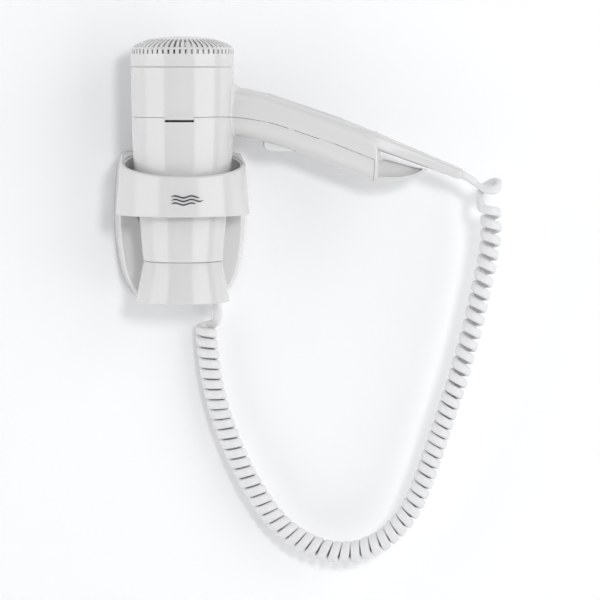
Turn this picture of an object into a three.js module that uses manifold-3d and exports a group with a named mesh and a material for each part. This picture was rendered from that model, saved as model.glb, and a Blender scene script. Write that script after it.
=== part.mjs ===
// Wall-mounted hair dryer: a holder screwed to the wall, the dryer that stands in it nozzle down,
// and the curly cord between them. Millimetres, +Z up, the wall is the plane y = 0, and the room is
// on its -Y side. The origin is the middle of the wall plate's rear face.
import * as THREE from "three";
import { mergeVertices } from "three/addons/utils/BufferGeometryUtils.js";
import Module from "manifold-3d";

const wasm = await Module();
wasm.setup();

// ---- Driving dimensions ----
const WALL = 2.2; // moulded wall of the shells and of the holder
const GAP = 0.3; // between pieces that touch
const SLACK = 0.6; // between pieces that sit loosely in each other

const BARREL_RADIUS = 40;
const AXIS_TO_WALL = BARREL_RADIUS + 16; // the barrel's axis stands this far off the wall
const NOZZLE_RADIUS = BARREL_RADIUS - 9;
const NOZZLE_END = -27; // height of the nozzle's end face
const SHELL_SEAM = 84.8; // where the front and rear shells part on the barrel
const CAP_SEAM = 123.6;
const CAP_RIM = CAP_SEAM + 10.4;
const CAP_TOP = CAP_RIM + 13;
const SLOT_COUNT = 55;
const SLOT_WIDTH = 1.7;
const SLOT_START = BARREL_RADIUS * 0.6; // radius at which the cap's slots begin

const HANDLE_END = 148.4; // distance from the barrel's axis to the end of the handle shells
const HANDLE_DEPTH = 29;
const ARM_LENGTH = 75;
const ARM_DROOP = THREE.MathUtils.degToRad(21.4);
const ARM_THICKNESS = 13;
const ARM_END_THICKNESS = 8.6;
const ARM_END_DEPTH = 14.4;

const BAR_START = HANDLE_END * 0.445; // the press bar lies between these distances from the axis
const BAR_END = HANDLE_END * 0.849;
const BAR_WIDTH = HANDLE_DEPTH * 0.38;
const BAR_TRAVEL = 2.5;
const BAR_DEPTH = 5;
const LEVER_LENGTH = 25;
const LEVER_WIDTH = 12;
const LEVER_DROP = 6; // how far the level control stands out at the barrel end
const LEVER_PIVOT_X = HANDLE_END * 0.593;

const MOTOR_RADIUS = 14;
const MOTOR_LENGTH = 37;
const SHAFT_RADIUS = 1.15;
const BLADE_COUNT = 7;
const VANE_COUNT = 5;
const HEATER_RADIUS = NOZZLE_RADIUS - 6;
const HEATER_TOP = 42;
const HEATER_BOTTOM = -16;
const BOARD_THICKNESS = 1;
const COIL_WIRE = 1.7; // radius of the wound heater coil

const HOLDER_TOP = 56;
const HOLDER_BOTTOM = -59;
const HOLDER_HALF_WIDTH = BARREL_RADIUS + 11.7;
const HOLDER_DEPTH = 25;
const HOLDER_DRAFT = 3; // each side comes in by this much from the wall to the front face
const COLLAR_BOTTOM = 9;
const COLLAR_FRONT = 42; // height of the collar's lip in front
const COLLAR_WALL = 4;
const COLLAR_TOP_RADIUS = BARREL_RADIUS + 8.6;
const COLLAR_BOTTOM_RADIUS = BARREL_RADIUS + 12.2;
const SKIRT_RADIUS = NOZZLE_RADIUS + 5.5; // at the holder's lower edge
const SKIRT_WALL = 2.6;
const PLATE_THICKNESS = 2.5;
const WALL_SCREW_X = 28; // the wall screws stand this far either side of the middle
const WALL_SCREW_Z = [HOLDER_BOTTOM + 29, HOLDER_TOP - 16];

const CORD_WIDTH = 7.2;
const CORD_THICKNESS = 5.2;
const COIL_RADIUS = 8.8;
const GLAND_NECK = 4.6; // radius of the gland's neck in the holder's bottom
const CORD_EXIT = new THREE.Vector3(HOLDER_HALF_WIDTH * 0.557, -13, HOLDER_BOTTOM);
const LOCK_X = -0.52 * HOLDER_HALF_WIDTH; // the locking screw's place in the holder's bottom
const LOCK_Y = -8;

// ---- Materials ----
const plastic = (color, roughness) => new THREE.MeshStandardMaterial({ color, roughness, metalness: 0 });
const metal = (color, roughness) => new THREE.MeshStandardMaterial({ color, roughness, metalness: 1 });
const glossWhite = plastic(0xf1f0ec, 0.22);
const satinWhite = plastic(0xe9e8e4, 0.45);
const blackPlastic = plastic(0x1d1d1f, 0.5);
const greyPlastic = plastic(0x8a8c8e, 0.5);
const mica = plastic(0xc9b993, 0.6);
const boardGreen = plastic(0x2f6b3f, 0.55);
const steel = metal(0xb9bcc0, 0.35);
const nichrome = metal(0x8d857c, 0.4);

// ---- Solids ----
// A closed geometry as a solid, with its faces turned outwards.
function solid(geometry) {
  const bare = geometry.clone();
  bare.deleteAttribute("normal");
  bare.deleteAttribute("uv");
  const merged = mergeVertices(bare, 1e-4);
  const vertProperties = merged.attributes.position.array;
  const triVerts = new Uint32Array(merged.index.array);
  const made = new wasm.Manifold(new wasm.Mesh({ numProp: 3, vertProperties, triVerts }));
  if (made.volume() > 0) return made;
  return new wasm.Manifold(new wasm.Mesh({ numProp: 3, vertProperties, triVerts: triVerts.reverse() }));
}

const join = (first, ...rest) => rest.reduce((whole, next) => whole.add(next), first);
const cut = (first, ...rest) => rest.reduce((left, next) => left.subtract(next), first);

// The same solid moved by a matrix.
const moved = (body, matrix) => body.transform(matrix.elements);
const shifted = (body, x, y, z) => moved(body, new THREE.Matrix4().makeTranslation(x, y, z));

// A mesh of a solid, hung in its group.
function piece(group, name, body, material) {
  const { vertProperties, triVerts } = body.getMesh();
  const geometry = new THREE.BufferGeometry();
  geometry.setAttribute("position", new THREE.BufferAttribute(vertProperties, 3));
  geometry.setIndex(new THREE.BufferAttribute(triVerts, 1));
  geometry.computeVertexNormals();
  const mesh = new THREE.Mesh(geometry, material);
  mesh.name = name;
  group.add(mesh);
  return mesh;
}

// A profile of [radius, height] points turned about Z.
function turned(profile, segments = 48) {
  const points = profile.map(([radius, height]) => new THREE.Vector2(radius, height));
  return solid(new THREE.LatheGeometry(points, segments).rotateX(Math.PI / 2));
}

// A round rod along Z, from one height to another.
function rod(radius, from, to, segments = 24, endRadius = radius) {
  const geometry = new THREE.CylinderGeometry(endRadius, radius, to - from, segments);
  return solid(geometry.rotateX(Math.PI / 2).translate(0, 0, (from + to) / 2));
}

// A box between two corners.
function block(x0, x1, y0, y1, z0, z1) {
  const geometry = new THREE.BoxGeometry(x1 - x0, y1 - y0, z1 - z0);
  return solid(geometry.translate((x0 + x1) / 2, (y0 + y1) / 2, (z0 + z1) / 2));
}

// An outline of [x, z] points, or a shape drawn in x and z, with thickness from y0 to y1.
function slab(outline, y0, y1, curveSegments = 8) {
  const shape = Array.isArray(outline)
    ? new THREE.Shape(outline.map(([x, z]) => new THREE.Vector2(x, z)))
    : outline;
  const depth = y1 - y0;
  const geometry = new THREE.ExtrudeGeometry(shape, { depth, bevelEnabled: false, curveSegments });
  return solid(geometry.rotateX(Math.PI / 2).translate(0, y1, 0));
}

// A skin over rings of equally many points, closed by a flat cap at each end.
function loft(rings) {
  const count = rings[0].length;
  const points = rings.flat();
  const triangles = [];
  for (let ring = 0; ring + 1 < rings.length; ring++) {
    for (let i = 0; i < count; i++) {
      const a = ring * count + i;
      const b = ring * count + ((i + 1) % count);
      triangles.push(a, b, b + count, a, b + count, a + count);
    }
  }
  const last = (rings.length - 1) * count;
  for (let i = 1; i + 1 < count; i++) {
    triangles.push(0, i + 1, i, last, last + i, last + i + 1);
  }
  const geometry = new THREE.BufferGeometry().setFromPoints(points);
  geometry.setIndex(triangles);
  return solid(geometry);
}

// A tube of a section along a list of points.
function tube(points, section, steps) {
  const extrudePath = new THREE.CatmullRomCurve3(points, false, "centripetal");
  return solid(new THREE.ExtrudeGeometry(section, { steps, extrudePath, curveSegments: 1 }));
}

// An ellipse's outline as a shape of straight sides.
function ovalSection(halfWidth, halfHeight, sides) {
  const corners = [];
  for (let i = 0; i < sides; i++) {
    const angle = ((i + 0.5) / sides) * 2 * Math.PI;
    corners.push(new THREE.Vector2(halfWidth * Math.cos(angle), halfHeight * Math.sin(angle)));
  }
  return new THREE.Shape(corners);
}

// The value of a table of [position, value, ...] rows at a position, on straight lines between rows.
function tabled(table, position, column = 1) {
  const next = table.findIndex((row) => row[0] >= position);
  if (next === 0) return table[0][column];
  if (next < 0) return table[table.length - 1][column];
  const [low, high] = [table[next - 1], table[next]];
  const share = (position - low[0]) / (high[0] - low[0]);
  return THREE.MathUtils.lerp(low[column], high[column], share);
}

// ---- The barrel's outline ----
// Share of the height from the nozzle's end to the cap, against share of the widening.
const BARREL_WIDENING = [
  [0, 0],
  [0.24, 0.36],
  [0.46, 0.72],
  [0.58, 0.88],
  [0.74, 0.95],
  [1, 1],
];

function barrelRadius(height) {
  const share = (height - NOZZLE_END) / (CAP_SEAM - NOZZLE_END);
  return NOZZLE_RADIUS + (BARREL_RADIUS - NOZZLE_RADIUS) * tabled(BARREL_WIDENING, share);
}

// A turned body that follows the barrel's outline, smaller by an inset.
function barrelBody(from, to, inset = 0) {
  const bends = BARREL_WIDENING.map(([share]) => NOZZLE_END + share * (CAP_SEAM - NOZZLE_END));
  const heights = [from, ...bends.filter((z) => z > from + 1 && z < to - 1), to];
  const side = heights.map((z) => [barrelRadius(z) - inset, z]);
  return turned([[0, from], ...side, [0, to]], inset > 0 ? 32 : 44);
}

// ---- The handle's outline ----
// Share of the way from the barrel's axis to the handle's end, height of the top and of the
// underside over the barrel's seam, share of the full depth.
const HANDLE_OUTLINE = [
  [0.135, 24.8, -13.9, 1.02],
  [0.276, 23.2, -15.4, 1.12],
  [0.437, 18.4, -20.4, 1.1],
  [0.647, 8.1, -30, 1.05],
  [0.853, -2.6, -41.9, 1],
  [1, -11, -50.2, 1],
].map(([share, top, under, depth]) => [share * HANDLE_END, SHELL_SEAM + top, SHELL_SEAM + under, depth]);
const HANDLE_ROOT = HANDLE_OUTLINE[0][0];
const HANDLE_SIDES = 20;
const HANDLE_SQUARENESS = 0.8;

function handleRing(x, inset) {
  const top = tabled(HANDLE_OUTLINE, x, 1) - inset;
  const bottom = tabled(HANDLE_OUTLINE, x, 2) + inset;
  const halfDepth = (HANDLE_DEPTH / 2) * tabled(HANDLE_OUTLINE, x, 3) - inset;
  return squareRing(HANDLE_SIDES, HANDLE_SQUARENESS, (across, up) => {
    return new THREE.Vector3(x, halfDepth * across, (top + bottom) / 2 + ((top - bottom) / 2) * up);
  });
}

// Points round a circle with squared shoulders, each placed by its share across and up.
function squareRing(sides, squareness, place) {
  const ring = [];
  for (let i = 0; i < sides; i++) {
    const angle = (i / sides) * 2 * Math.PI;
    const across = Math.sign(Math.cos(angle)) * Math.abs(Math.cos(angle)) ** squareness;
    const up = Math.sign(Math.sin(angle)) * Math.abs(Math.sin(angle)) ** squareness;
    ring.push(place(across, up));
  }
  return ring;
}

function handleBody(from, to, inset = 0) {
  const bends = HANDLE_OUTLINE.map(([x]) => x).filter((x) => x > from && x < to);
  return loft([from, ...bends, to].map((x) => handleRing(x, inset)));
}

// ---- The arm that carries the cord past the hook ----
// Its own axes: X along it, Z square to it. It starts level with the end of the handle.
const armFrame = new THREE.Matrix4()
  .makeTranslation(HANDLE_END, 0, tabled(HANDLE_OUTLINE, HANDLE_END, 1) - ARM_THICKNESS * 0.54)
  .multiply(new THREE.Matrix4().makeRotationY(ARM_DROOP));
const ARM_OUTLINE = [
  // distance along it, share of the way to its end thickness, share of the way to its end depth
  [-12, -0.02, 0],
  [3, 0.02, 0.05],
  [16, 0.2, 0.55],
  [34, 0.45, 0.85],
  [ARM_LENGTH, 1, 1],
];
const ARM_START_DEPTH = HANDLE_DEPTH - 4;
const armPoint = (along, up = 0) => new THREE.Vector3(along, 0, up).applyMatrix4(armFrame);

function armBody(from, to, inset = 0) {
  const bends = ARM_OUTLINE.map(([along]) => along).filter((along) => along > from && along < to);
  const rings = [from, ...bends, to].map((along) => {
    const thinning = tabled(ARM_OUTLINE, along, 1);
    const narrowing = tabled(ARM_OUTLINE, along, 2);
    const halfThickness = THREE.MathUtils.lerp(ARM_THICKNESS, ARM_END_THICKNESS, thinning) / 2;
    const halfDepth = THREE.MathUtils.lerp(ARM_START_DEPTH, ARM_END_DEPTH, narrowing) / 2;
    return squareRing(16, HANDLE_SQUARENESS, (across, up) => {
      return new THREE.Vector3(along, (halfDepth - inset) * across, (halfThickness - inset) * up);
    });
  });
  return moved(loft(rings), armFrame);
}

// ---- Groups ----
const root = new THREE.Group();
const holder = new THREE.Group();
const dryer = new THREE.Group();
const cord = new THREE.Group();
root.add(holder, dryer, cord);
dryer.position.set(0, -AXIS_TO_WALL, 0);

// ---- The seam between the shells ----
// It runs level round the barrel and then droops along the handle to its end.
const SEAM_DROOP = [
  [-0.5, 0],
  [0.243, 0],
  [0.435, -4],
  [0.586, -10.8],
  [0.687, -16],
  [0.788, -20.8],
  [1, -33.4],
].map(([share, drop]) => [share * HANDLE_END, drop]);
const REACH = 80; // half the depth of a cutting slab, beyond any piece
const seamHeight = (x) => SHELL_SEAM + tabled(SEAM_DROOP, x);

// Everything on one side of the seam, moved off it by half the gap.
function seamSide(upper) {
  const offset = upper ? GAP / 2 : -GAP / 2;
  const line = SEAM_DROOP.map(([x, drop]) => [x, SHELL_SEAM + drop + offset]);
  const far = upper ? CAP_TOP + 50 : NOZZLE_END - 50;
  const end = line[line.length - 1];
  const close = upper
    ? [[HANDLE_END, -60], [HANDLE_END + 120, -60], [HANDLE_END + 120, far], [line[0][0], far]]
    : [[end[0], far], [line[0][0], far]];
  return slab([...line, ...close], -REACH, REACH);
}

// ---- Screws ----
// A pan-head screw along Z with its head upwards, head seat at height 0.
function screw(length, radius) {
  const head = rod(radius * 1.9, 0, radius * 1.1, 16, radius * 1.6);
  const shank = rod(radius, -length, 0.2, 12, radius);
  const slot = block(-radius * 2, radius * 2, -radius * 0.25, radius * 0.25, radius * 0.6, radius * 2);
  return cut(join(head, shank), slot);
}

// Shell screws stand upright under the handle, from the front shell up into posts of the rear shell.
const POST_RADIUS = 3.4;
const SHELL_SCREWS = [
  { name: "shell_screw_root", x: HANDLE_END * 0.344, y: 0 },
  { name: "shell_screw_end", x: HANDLE_END * 0.937, y: CORD_WIDTH / 2 + POST_RADIUS + 0.5 },
];
const SHELL_SCREW_RADIUS = 1.4;
const HEAD_SINK = 5; // depth of the heads below the underside
const SCREW_BITE = 7; // how far the screws reach above the seam

// ---- Press bar on top of the handle ----
// Its own axes: X along the bar, Z out of the handle. The origin is the middle of the bar's top.
const barSlope = Math.atan2(
  tabled(HANDLE_OUTLINE, BAR_START, 1) - tabled(HANDLE_OUTLINE, BAR_END, 1),
  BAR_END - BAR_START,
);
const barMiddle = (BAR_START + BAR_END) / 2;
const barLength = (BAR_END - BAR_START) / Math.cos(barSlope);
const barFrame = new THREE.Matrix4()
  .makeTranslation(barMiddle, 0, tabled(HANDLE_OUTLINE, barMiddle, 1) + 0.2)
  .multiply(new THREE.Matrix4().makeRotationY(barSlope));

// A long pill along X, from one height to another.
function pill(length, width, from, to) {
  const reach = (length - width) / 2;
  const shape = new THREE.Shape();
  shape.absarc(reach, 0, width / 2, -Math.PI / 2, Math.PI / 2);
  shape.absarc(-reach, 0, width / 2, Math.PI / 2, (3 * Math.PI) / 2);
  const geometry = new THREE.ExtrudeGeometry(shape, {
    depth: to - from,
    bevelEnabled: false,
    curveSegments: 6,
  });
  return solid(geometry.translate(0, 0, from));
}

// ---- Level control under the handle ----
const leverPivotZ = tabled(HANDLE_OUTLINE, LEVER_PIVOT_X, 2) + 3.2;
const PIN_RADIUS = 1.2;

// The lever's side outline: flush at the pivot, standing out at the barrel end. Its opening is this
// outline grown all round and raised above, through the shell's wall.
function leverOutline(grow, raised = 0) {
  const tip = LEVER_PIVOT_X - LEVER_LENGTH;
  const under = (x) => tabled(HANDLE_OUTLINE, x, 2);
  return [
    [tip - 2.5 * grow, under(tip) + 2.6 + grow + raised],
    [tip - 2.5 * grow, under(tip) - LEVER_DROP + 1.5 - grow],
    [tip + 2 - grow, under(tip + 2) - LEVER_DROP + 0.6 - grow],
    [tip + 10, under(tip + 10) - 4.4 - grow],
    [LEVER_PIVOT_X - 3, under(LEVER_PIVOT_X - 3) - 0.4 - grow],
    [LEVER_PIVOT_X + 2.4 + grow, leverPivotZ - 1 - grow],
    [LEVER_PIVOT_X + 2.4 + grow, leverPivotZ + 2.2 + grow + raised],
    [LEVER_PIVOT_X - 3, leverPivotZ + 2.2 + grow + raised],
  ];
}

// ---- Cord clamp in the handle's end ----
const CLAMP_X = HANDLE_END * 0.859;
const CLAMP_SCREW = 1.25;
const CLAMP_BOSS = HANDLE_DEPTH * 0.095;
const CLAMP_SPREAD = HANDLE_DEPTH * 0.255; // its screws stand this far either side of the cord
const CLAMP_HALF = CLAMP_SPREAD + CLAMP_BOSS;
const clampedZ = seamHeight(CLAMP_X) + 1.5; // height of the cord under the clamp
const clampSeat = clampedZ + CORD_THICKNESS / 2 + GAP;

// ---- End wall and hanging hook, moulded with the rear shell ----
// The wall closes the handle's end below the arm. The hook reaches back from it under the arm.
const END_WALL = 2.6;
const HOOK_RIM = 2.8; // thickness of the rim along its lower edge
const HOOK_WEB = 1.4; // half the thickness of the web above the rim

// Height of the arm's underside at a distance from the barrel's axis.
function underArm(x) {
  const along = (x - HANDLE_END) / Math.cos(ARM_DROOP);
  const thickness = THREE.MathUtils.lerp(ARM_THICKNESS, ARM_END_THICKNESS, tabled(ARM_OUTLINE, along, 1));
  return armPoint(along).z - thickness / 2 / Math.cos(ARM_DROOP);
}

function hookBody() {
  const endRings = [HANDLE_END + GAP, HANDLE_END + GAP + END_WALL].map((x) => handleRing(x, 0));
  const aboveArm = moved(block(-30, ARM_LENGTH, -REACH, REACH, 0, REACH), armFrame);
  const endWall = cut(loft(endRings), aboveArm, armBody(-14, ARM_LENGTH + 1, WALL - 1));
  const low = tabled(HANDLE_OUTLINE, HANDLE_END, 2);
  const start = HANDLE_END + GAP + END_WALL - 0.4;
  const under = (reach, slot) => [start + reach, underArm(start + reach) - slot];
  const tip = under(40.5, 0.8);
  const web = new THREE.Shape();
  web.moveTo(start, low);
  web.lineTo(start + 14.5, low - 0.1);
  web.quadraticCurveTo(start + 30, low + 0.8, ...tip);
  for (const [reach, slot] of [[31.6, 1.7], [11, 3.4], [3.3, 4]]) web.lineTo(...under(reach, slot));
  web.lineTo(start, underArm(start + 3.3) - 4.4);
  const dish = new THREE.Shape();
  dish.moveTo(start + 1.4, low + HOOK_RIM + 0.6);
  dish.lineTo(start + 14, low + HOOK_RIM);
  dish.quadraticCurveTo(start + 28, low + HOOK_RIM + 0.4, tip[0] - 5, tip[1] - 0.6);
  dish.lineTo(tip[0] - 3.5, low + 30);
  dish.lineTo(start + 1.4, low + 30);
  const half = 7;
  const dishes = [slab(dish, HOOK_WEB, half + 1, 10), slab(dish, -half - 1, -HOOK_WEB, 10)];
  return join(endWall, cut(slab(web, -half, half, 10), ...dishes));
}

// ---- Shells of the dryer ----
function shellBodies() {
  const outside = join(
    barrelBody(NOZZLE_END, CAP_SEAM - GAP),
    handleBody(HANDLE_ROOT, HANDLE_END),
    armBody(-12, ARM_LENGTH),
  );
  const armWall = WALL - 1;
  const inside = join(
    barrelBody(NOZZLE_END - 1, CAP_SEAM + 1, WALL),
    handleBody(HANDLE_ROOT, HANDLE_END + 1, WALL),
    armBody(-14, ARM_LENGTH + 1, armWall),
  );
  const rearSide = seamSide(true);
  const frontSide = seamSide(false);
  const barOpening = moved(pill(barLength + 2 * GAP, BAR_WIDTH + 2 * GAP, -8, 8), barFrame);
  const leverOpening = slab(leverOutline(0.4, 5), -LEVER_WIDTH / 2 - 0.4, LEVER_WIDTH / 2 + 0.4);

  let rear = cut(outside, inside).intersect(rearSide);
  let front = cut(outside, inside).intersect(frontSide);
  rear = cut(rear, barOpening);
  front = cut(front, leverOpening);

  const innerSpace = handleBody(HANDLE_ROOT, HANDLE_END - 0.5, 0.4);
  const clearSpace = handleBody(HANDLE_ROOT, HANDLE_END - 0.5, WALL + GAP);
  // A post grows into its own shell's wall, and stays clear of the other shell's.
  const standing = (post, side) => join(post.intersect(innerSpace).intersect(side), post.intersect(clearSpace));
  for (const { x, y } of SHELL_SCREWS) {
    const seam = seamHeight(x);
    const underside = tabled(HANDLE_OUTLINE, x, 2);
    const rearPost = shifted(rod(POST_RADIUS, seam - 6, seam + 40), x, y, 0);
    const frontPost = shifted(rod(POST_RADIUS + 0.6, underside - 6, seam - 6 - GAP), x, y, 0);
    const pilot = shifted(rod(SHELL_SCREW_RADIUS + 0.2, underside, seam + SCREW_BITE + 2, 16), x, y, 0);
    const headRoom = shifted(rod(3.1, underside - 8, underside + HEAD_SINK, 16), x, y, 0);
    rear = cut(join(rear, standing(rearPost, rearSide)), pilot);
    front = cut(join(front, frontPost.intersect(innerSpace)), pilot, headRoom);
  }

  // Two bosses for the clamp's screws and two lugs for the lever's pin.
  for (const side of [-1, 1]) {
    const boss = shifted(rod(CLAMP_BOSS, 0, clampSeat, 16), CLAMP_X, side * CLAMP_SPREAD, 0);
    const bossHole = shifted(rod(CLAMP_SCREW + 0.2, clampSeat - 11, 200, 16), CLAMP_X, side * CLAMP_SPREAD, 0);
    front = cut(join(front, standing(boss, frontSide)), bossHole);
    const lugFrom = side * (LEVER_WIDTH / 2 + 0.5);
    const lugTo = side * (LEVER_WIDTH / 2 + 2.5);
    const lug = block(
      LEVER_PIVOT_X - 3.4,
      LEVER_PIVOT_X + 3.4,
      Math.min(lugFrom, lugTo),
      Math.max(lugFrom, lugTo),
      leverPivotZ - 5,
      leverPivotZ + 3.4,
    );
    front = join(front, lug.intersect(innerSpace));
  }
  front = cut(front, acrossRod(PIN_RADIUS + GAP / 3, LEVER_WIDTH + 8, LEVER_PIVOT_X, leverPivotZ));
  return { rear: join(rear, hookBody()), front };
}

// A rod along Y, centred on the dryer's middle plane.
function acrossRod(radius, length, x, z) {
  const upright = rod(radius, -length / 2, length / 2, 16);
  return shifted(moved(upright, new THREE.Matrix4().makeRotationX(Math.PI / 2)), x, 0, z);
}

const shells = shellBodies();
piece(dryer, "rear_shell", shells.rear, glossWhite);
piece(dryer, "front_shell", shells.front, glossWhite);
for (const { name, x, y } of SHELL_SCREWS) {
  const seat = tabled(HANDLE_OUTLINE, x, 2) + HEAD_SINK - GAP;
  const mesh = piece(dryer, name, screw(seamHeight(x) + SCREW_BITE - seat, SHELL_SCREW_RADIUS), steel);
  mesh.rotation.x = Math.PI;
  mesh.position.set(x, y, seat);
}

// ---- Air inlet cap ----
const CAP_DOME = [
  // share of the radius, share of the height from rim to top
  [1, 0],
  [0.97, 0.3],
  [0.85, 0.58],
  [0.55, 0.85],
  [0, 1],
];

function capBody() {
  const dome = (inset) =>
    CAP_DOME.map(([out, up]) => [
      out * (BARREL_RADIUS - inset),
      CAP_RIM - inset * 0.3 + up * (CAP_TOP - CAP_RIM - inset * 0.7),
    ]);
  const outer = [[0, CAP_SEAM], [BARREL_RADIUS, CAP_SEAM], ...dome(0)];
  const hollow = dome(WALL).filter((row, i) => i !== 1 && i !== 3);
  const inner = [[0, CAP_SEAM - 1], [BARREL_RADIUS - WALL, CAP_SEAM - 1], ...hollow];
  let cap = cut(turned(outer, SLOT_COUNT), turned(inner, SLOT_COUNT));
  const tool = block(SLOT_START, BARREL_RADIUS + 5, -SLOT_WIDTH / 2, SLOT_WIDTH / 2, CAP_RIM + 0.5, CAP_TOP + 5);
  for (let i = 0; i < SLOT_COUNT; i++) {
    const turn = new THREE.Matrix4().makeRotationZ(((i + 0.5) / SLOT_COUNT) * 2 * Math.PI);
    cap = cut(cap, moved(tool, turn));
  }
  return cap;
}
piece(dryer, "inlet_cap", capBody(), glossWhite);

// ---- Inlet filter: a rim with a cross of bars that carries the mesh ----
const FILTER_TOP = CAP_SEAM - 1;
const filterRadius = BARREL_RADIUS - WALL - SLACK;
function filterBody() {
  const rim = cut(rod(filterRadius, FILTER_TOP - 2.4, FILTER_TOP), rod(filterRadius - 3, 0, 200));
  const bars = [0, 1, 2].map((i) => {
    const bar = block(-filterRadius + 1, filterRadius - 1, -1, 1, FILTER_TOP - 2.2, FILTER_TOP - 1.2);
    return moved(bar, new THREE.Matrix4().makeRotationZ((i * Math.PI) / 3));
  });
  const gauze = rod(filterRadius - 1, FILTER_TOP - 1.2, FILTER_TOP - 0.6);
  return join(rim, ...bars, gauze);
}
piece(dryer, "inlet_filter", filterBody(), greyPlastic);

// ---- Fan duct, motor and impeller ----
const DUCT_BOTTOM = HEATER_TOP + 16;
const DUCT_TOP = CAP_SEAM - 5.6;
const MOTOR_BOTTOM = DUCT_BOTTOM + 2;
const MOTOR_TOP = MOTOR_BOTTOM + MOTOR_LENGTH;
const ductOuter = barrelRadius(DUCT_BOTTOM) - WALL - SLACK;
const ductInner = ductOuter - 1.6;
const FAN_BOTTOM = MOTOR_TOP + 2.5;
const FAN_HEIGHT = 11;
const cupInner = MOTOR_RADIUS + GAP;

function ductBody() {
  const ring = cut(rod(ductOuter, DUCT_BOTTOM, DUCT_TOP), rod(ductInner, DUCT_BOTTOM - 1, DUCT_TOP + 1));
  const cup = rod(cupInner + 1.5, MOTOR_BOTTOM + 6, MOTOR_TOP - 3, 32);
  const vanes = [];
  for (let i = 0; i < VANE_COUNT; i++) {
    const vane = block(cupInner + 0.7, ductOuter - 0.8, -0.8, 0.8, MOTOR_BOTTOM + 8, MOTOR_TOP - 4);
    vanes.push(moved(vane, new THREE.Matrix4().makeRotationZ((i / VANE_COUNT) * 2 * Math.PI + 0.3)));
  }
  const bore = rod(cupInner, 0, 200, 32);
  return cut(join(ring, cup, ...vanes), bore);
}
piece(dryer, "fan_duct", ductBody(), blackPlastic);

function motorBody() {
  const can = rod(MOTOR_RADIUS, MOTOR_BOTTOM, MOTOR_TOP, 32);
  const boss = rod(4, MOTOR_TOP - 0.1, MOTOR_TOP + 1.6);
  const bore = rod(SHAFT_RADIUS + 0.1, MOTOR_TOP - 8, MOTOR_TOP + 3, 16);
  const tabs = [-1, 1].map((side) => block(side * 8 - 1, side * 8 + 1, -0.4, 0.4, MOTOR_BOTTOM - 5, MOTOR_BOTTOM + 1));
  return cut(join(can, boss, ...tabs), bore);
}
piece(dryer, "motor", motorBody(), steel);

const shaftTop = FAN_BOTTOM + FAN_HEIGHT - 1;
const fan = new THREE.Group();
dryer.add(fan);
piece(fan, "motor_shaft", rod(SHAFT_RADIUS, MOTOR_TOP - 7, shaftTop, 16), steel);

// Swept blades between the hub and the duct's wall.
function impellerBody() {
  const hub = rod(12, FAN_BOTTOM, FAN_BOTTOM + FAN_HEIGHT - 2, 28, 10.5);
  const hollow = rod(9, FAN_BOTTOM - 1, FAN_BOTTOM + FAN_HEIGHT - 4, 28, 8.5);
  const socket = rod(3.2, FAN_BOTTOM + 1, FAN_BOTTOM + FAN_HEIGHT - 3, 16);
  const bore = rod(SHAFT_RADIUS + 0.05, FAN_BOTTOM - 1, shaftTop + GAP, 16);
  const reach = ductInner - 1.2;
  const blade = loft(
    [11, 20, reach].map((radius, i) => {
      const tilt = 0.75 - i * 0.14;
      const chord = 6.2 + i * 1.2;
      return [[-1, -1], [1, -1], [1, 1], [-1, 1]].map(([along, thick]) => {
        const y = along * chord * Math.cos(tilt) - thick * 0.55 * Math.sin(tilt);
        const z = along * chord * Math.sin(tilt) + thick * 0.55 * Math.cos(tilt);
        return new THREE.Vector3(radius, y, FAN_BOTTOM + FAN_HEIGHT / 2 + z);
      });
    }),
  );
  const blades = [];
  for (let i = 0; i < BLADE_COUNT; i++) {
    blades.push(moved(blade, new THREE.Matrix4().makeRotationZ((i / BLADE_COUNT) * 2 * Math.PI)));
  }
  return cut(join(cut(join(hub, ...blades), hollow), socket), bore);
}
piece(fan, "fan_impeller", impellerBody(), blackPlastic);

// ---- Rectifier board on the motor's tabs ----
const boardTop = MOTOR_BOTTOM - 2;
function rectifierBody() {
  const disc = rod(12.5, boardTop - 1.6, boardTop, 28);
  const diodes = [-1, 1].flatMap((side) =>
    [-1, 1].map((end) => block(side * 3 - 1.2, side * 3 + 1.2, end * 5 - 2.2, end * 5 + 2.2, boardTop - 4, boardTop - 1)),
  );
  const slots = [-1, 1].map((side) => block(side * 8 - 1.3, side * 8 + 1.3, -0.7, 0.7, boardTop - 3, boardTop + 1));
  return cut(join(disc, ...diodes), ...slots);
}
piece(dryer, "rectifier_board", rectifierBody(), boardGreen);

// ---- Heater: two crossed mica boards, the coil wound round them, a mica sleeve ----
const COIL_TURNS = 4;
const coilRadius = HEATER_RADIUS - 5;
function coilPath(radius) {
  const points = [];
  const stepsPerTurn = 16;
  for (let i = 0; i <= COIL_TURNS * stepsPerTurn; i++) {
    const angle = (i / stepsPerTurn) * 2 * Math.PI + Math.PI / 4;
    const share = i / (COIL_TURNS * stepsPerTurn);
    const height = THREE.MathUtils.lerp(HEATER_BOTTOM + 8, HEATER_TOP - 8, share);
    points.push(new THREE.Vector3(radius * Math.cos(angle), radius * Math.sin(angle), height));
  }
  return points;
}
const coilSteps = COIL_TURNS * 12;
const coilBody = tube(coilPath(coilRadius), ovalSection(COIL_WIRE, COIL_WIRE, 5), coilSteps);
const coilRoom = tube(coilPath(coilRadius), ovalSection(COIL_WIRE + 0.5, COIL_WIRE + 0.5, 6), coilSteps);
const half = BOARD_THICKNESS / 2;
const crossing = (HEATER_TOP + HEATER_BOTTOM) / 2;
const boardX = block(-HEATER_RADIUS, HEATER_RADIUS, -half, half, HEATER_BOTTOM, HEATER_TOP);
const boardY = block(-half, half, -HEATER_RADIUS, HEATER_RADIUS, HEATER_BOTTOM, HEATER_TOP);
const notch = half + GAP;
const notchX = block(-notch, notch, -2, 2, crossing - GAP, HEATER_TOP + 1);
const notchY = block(-2, 2, -notch, notch, HEATER_BOTTOM - 1, crossing + GAP);
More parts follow.
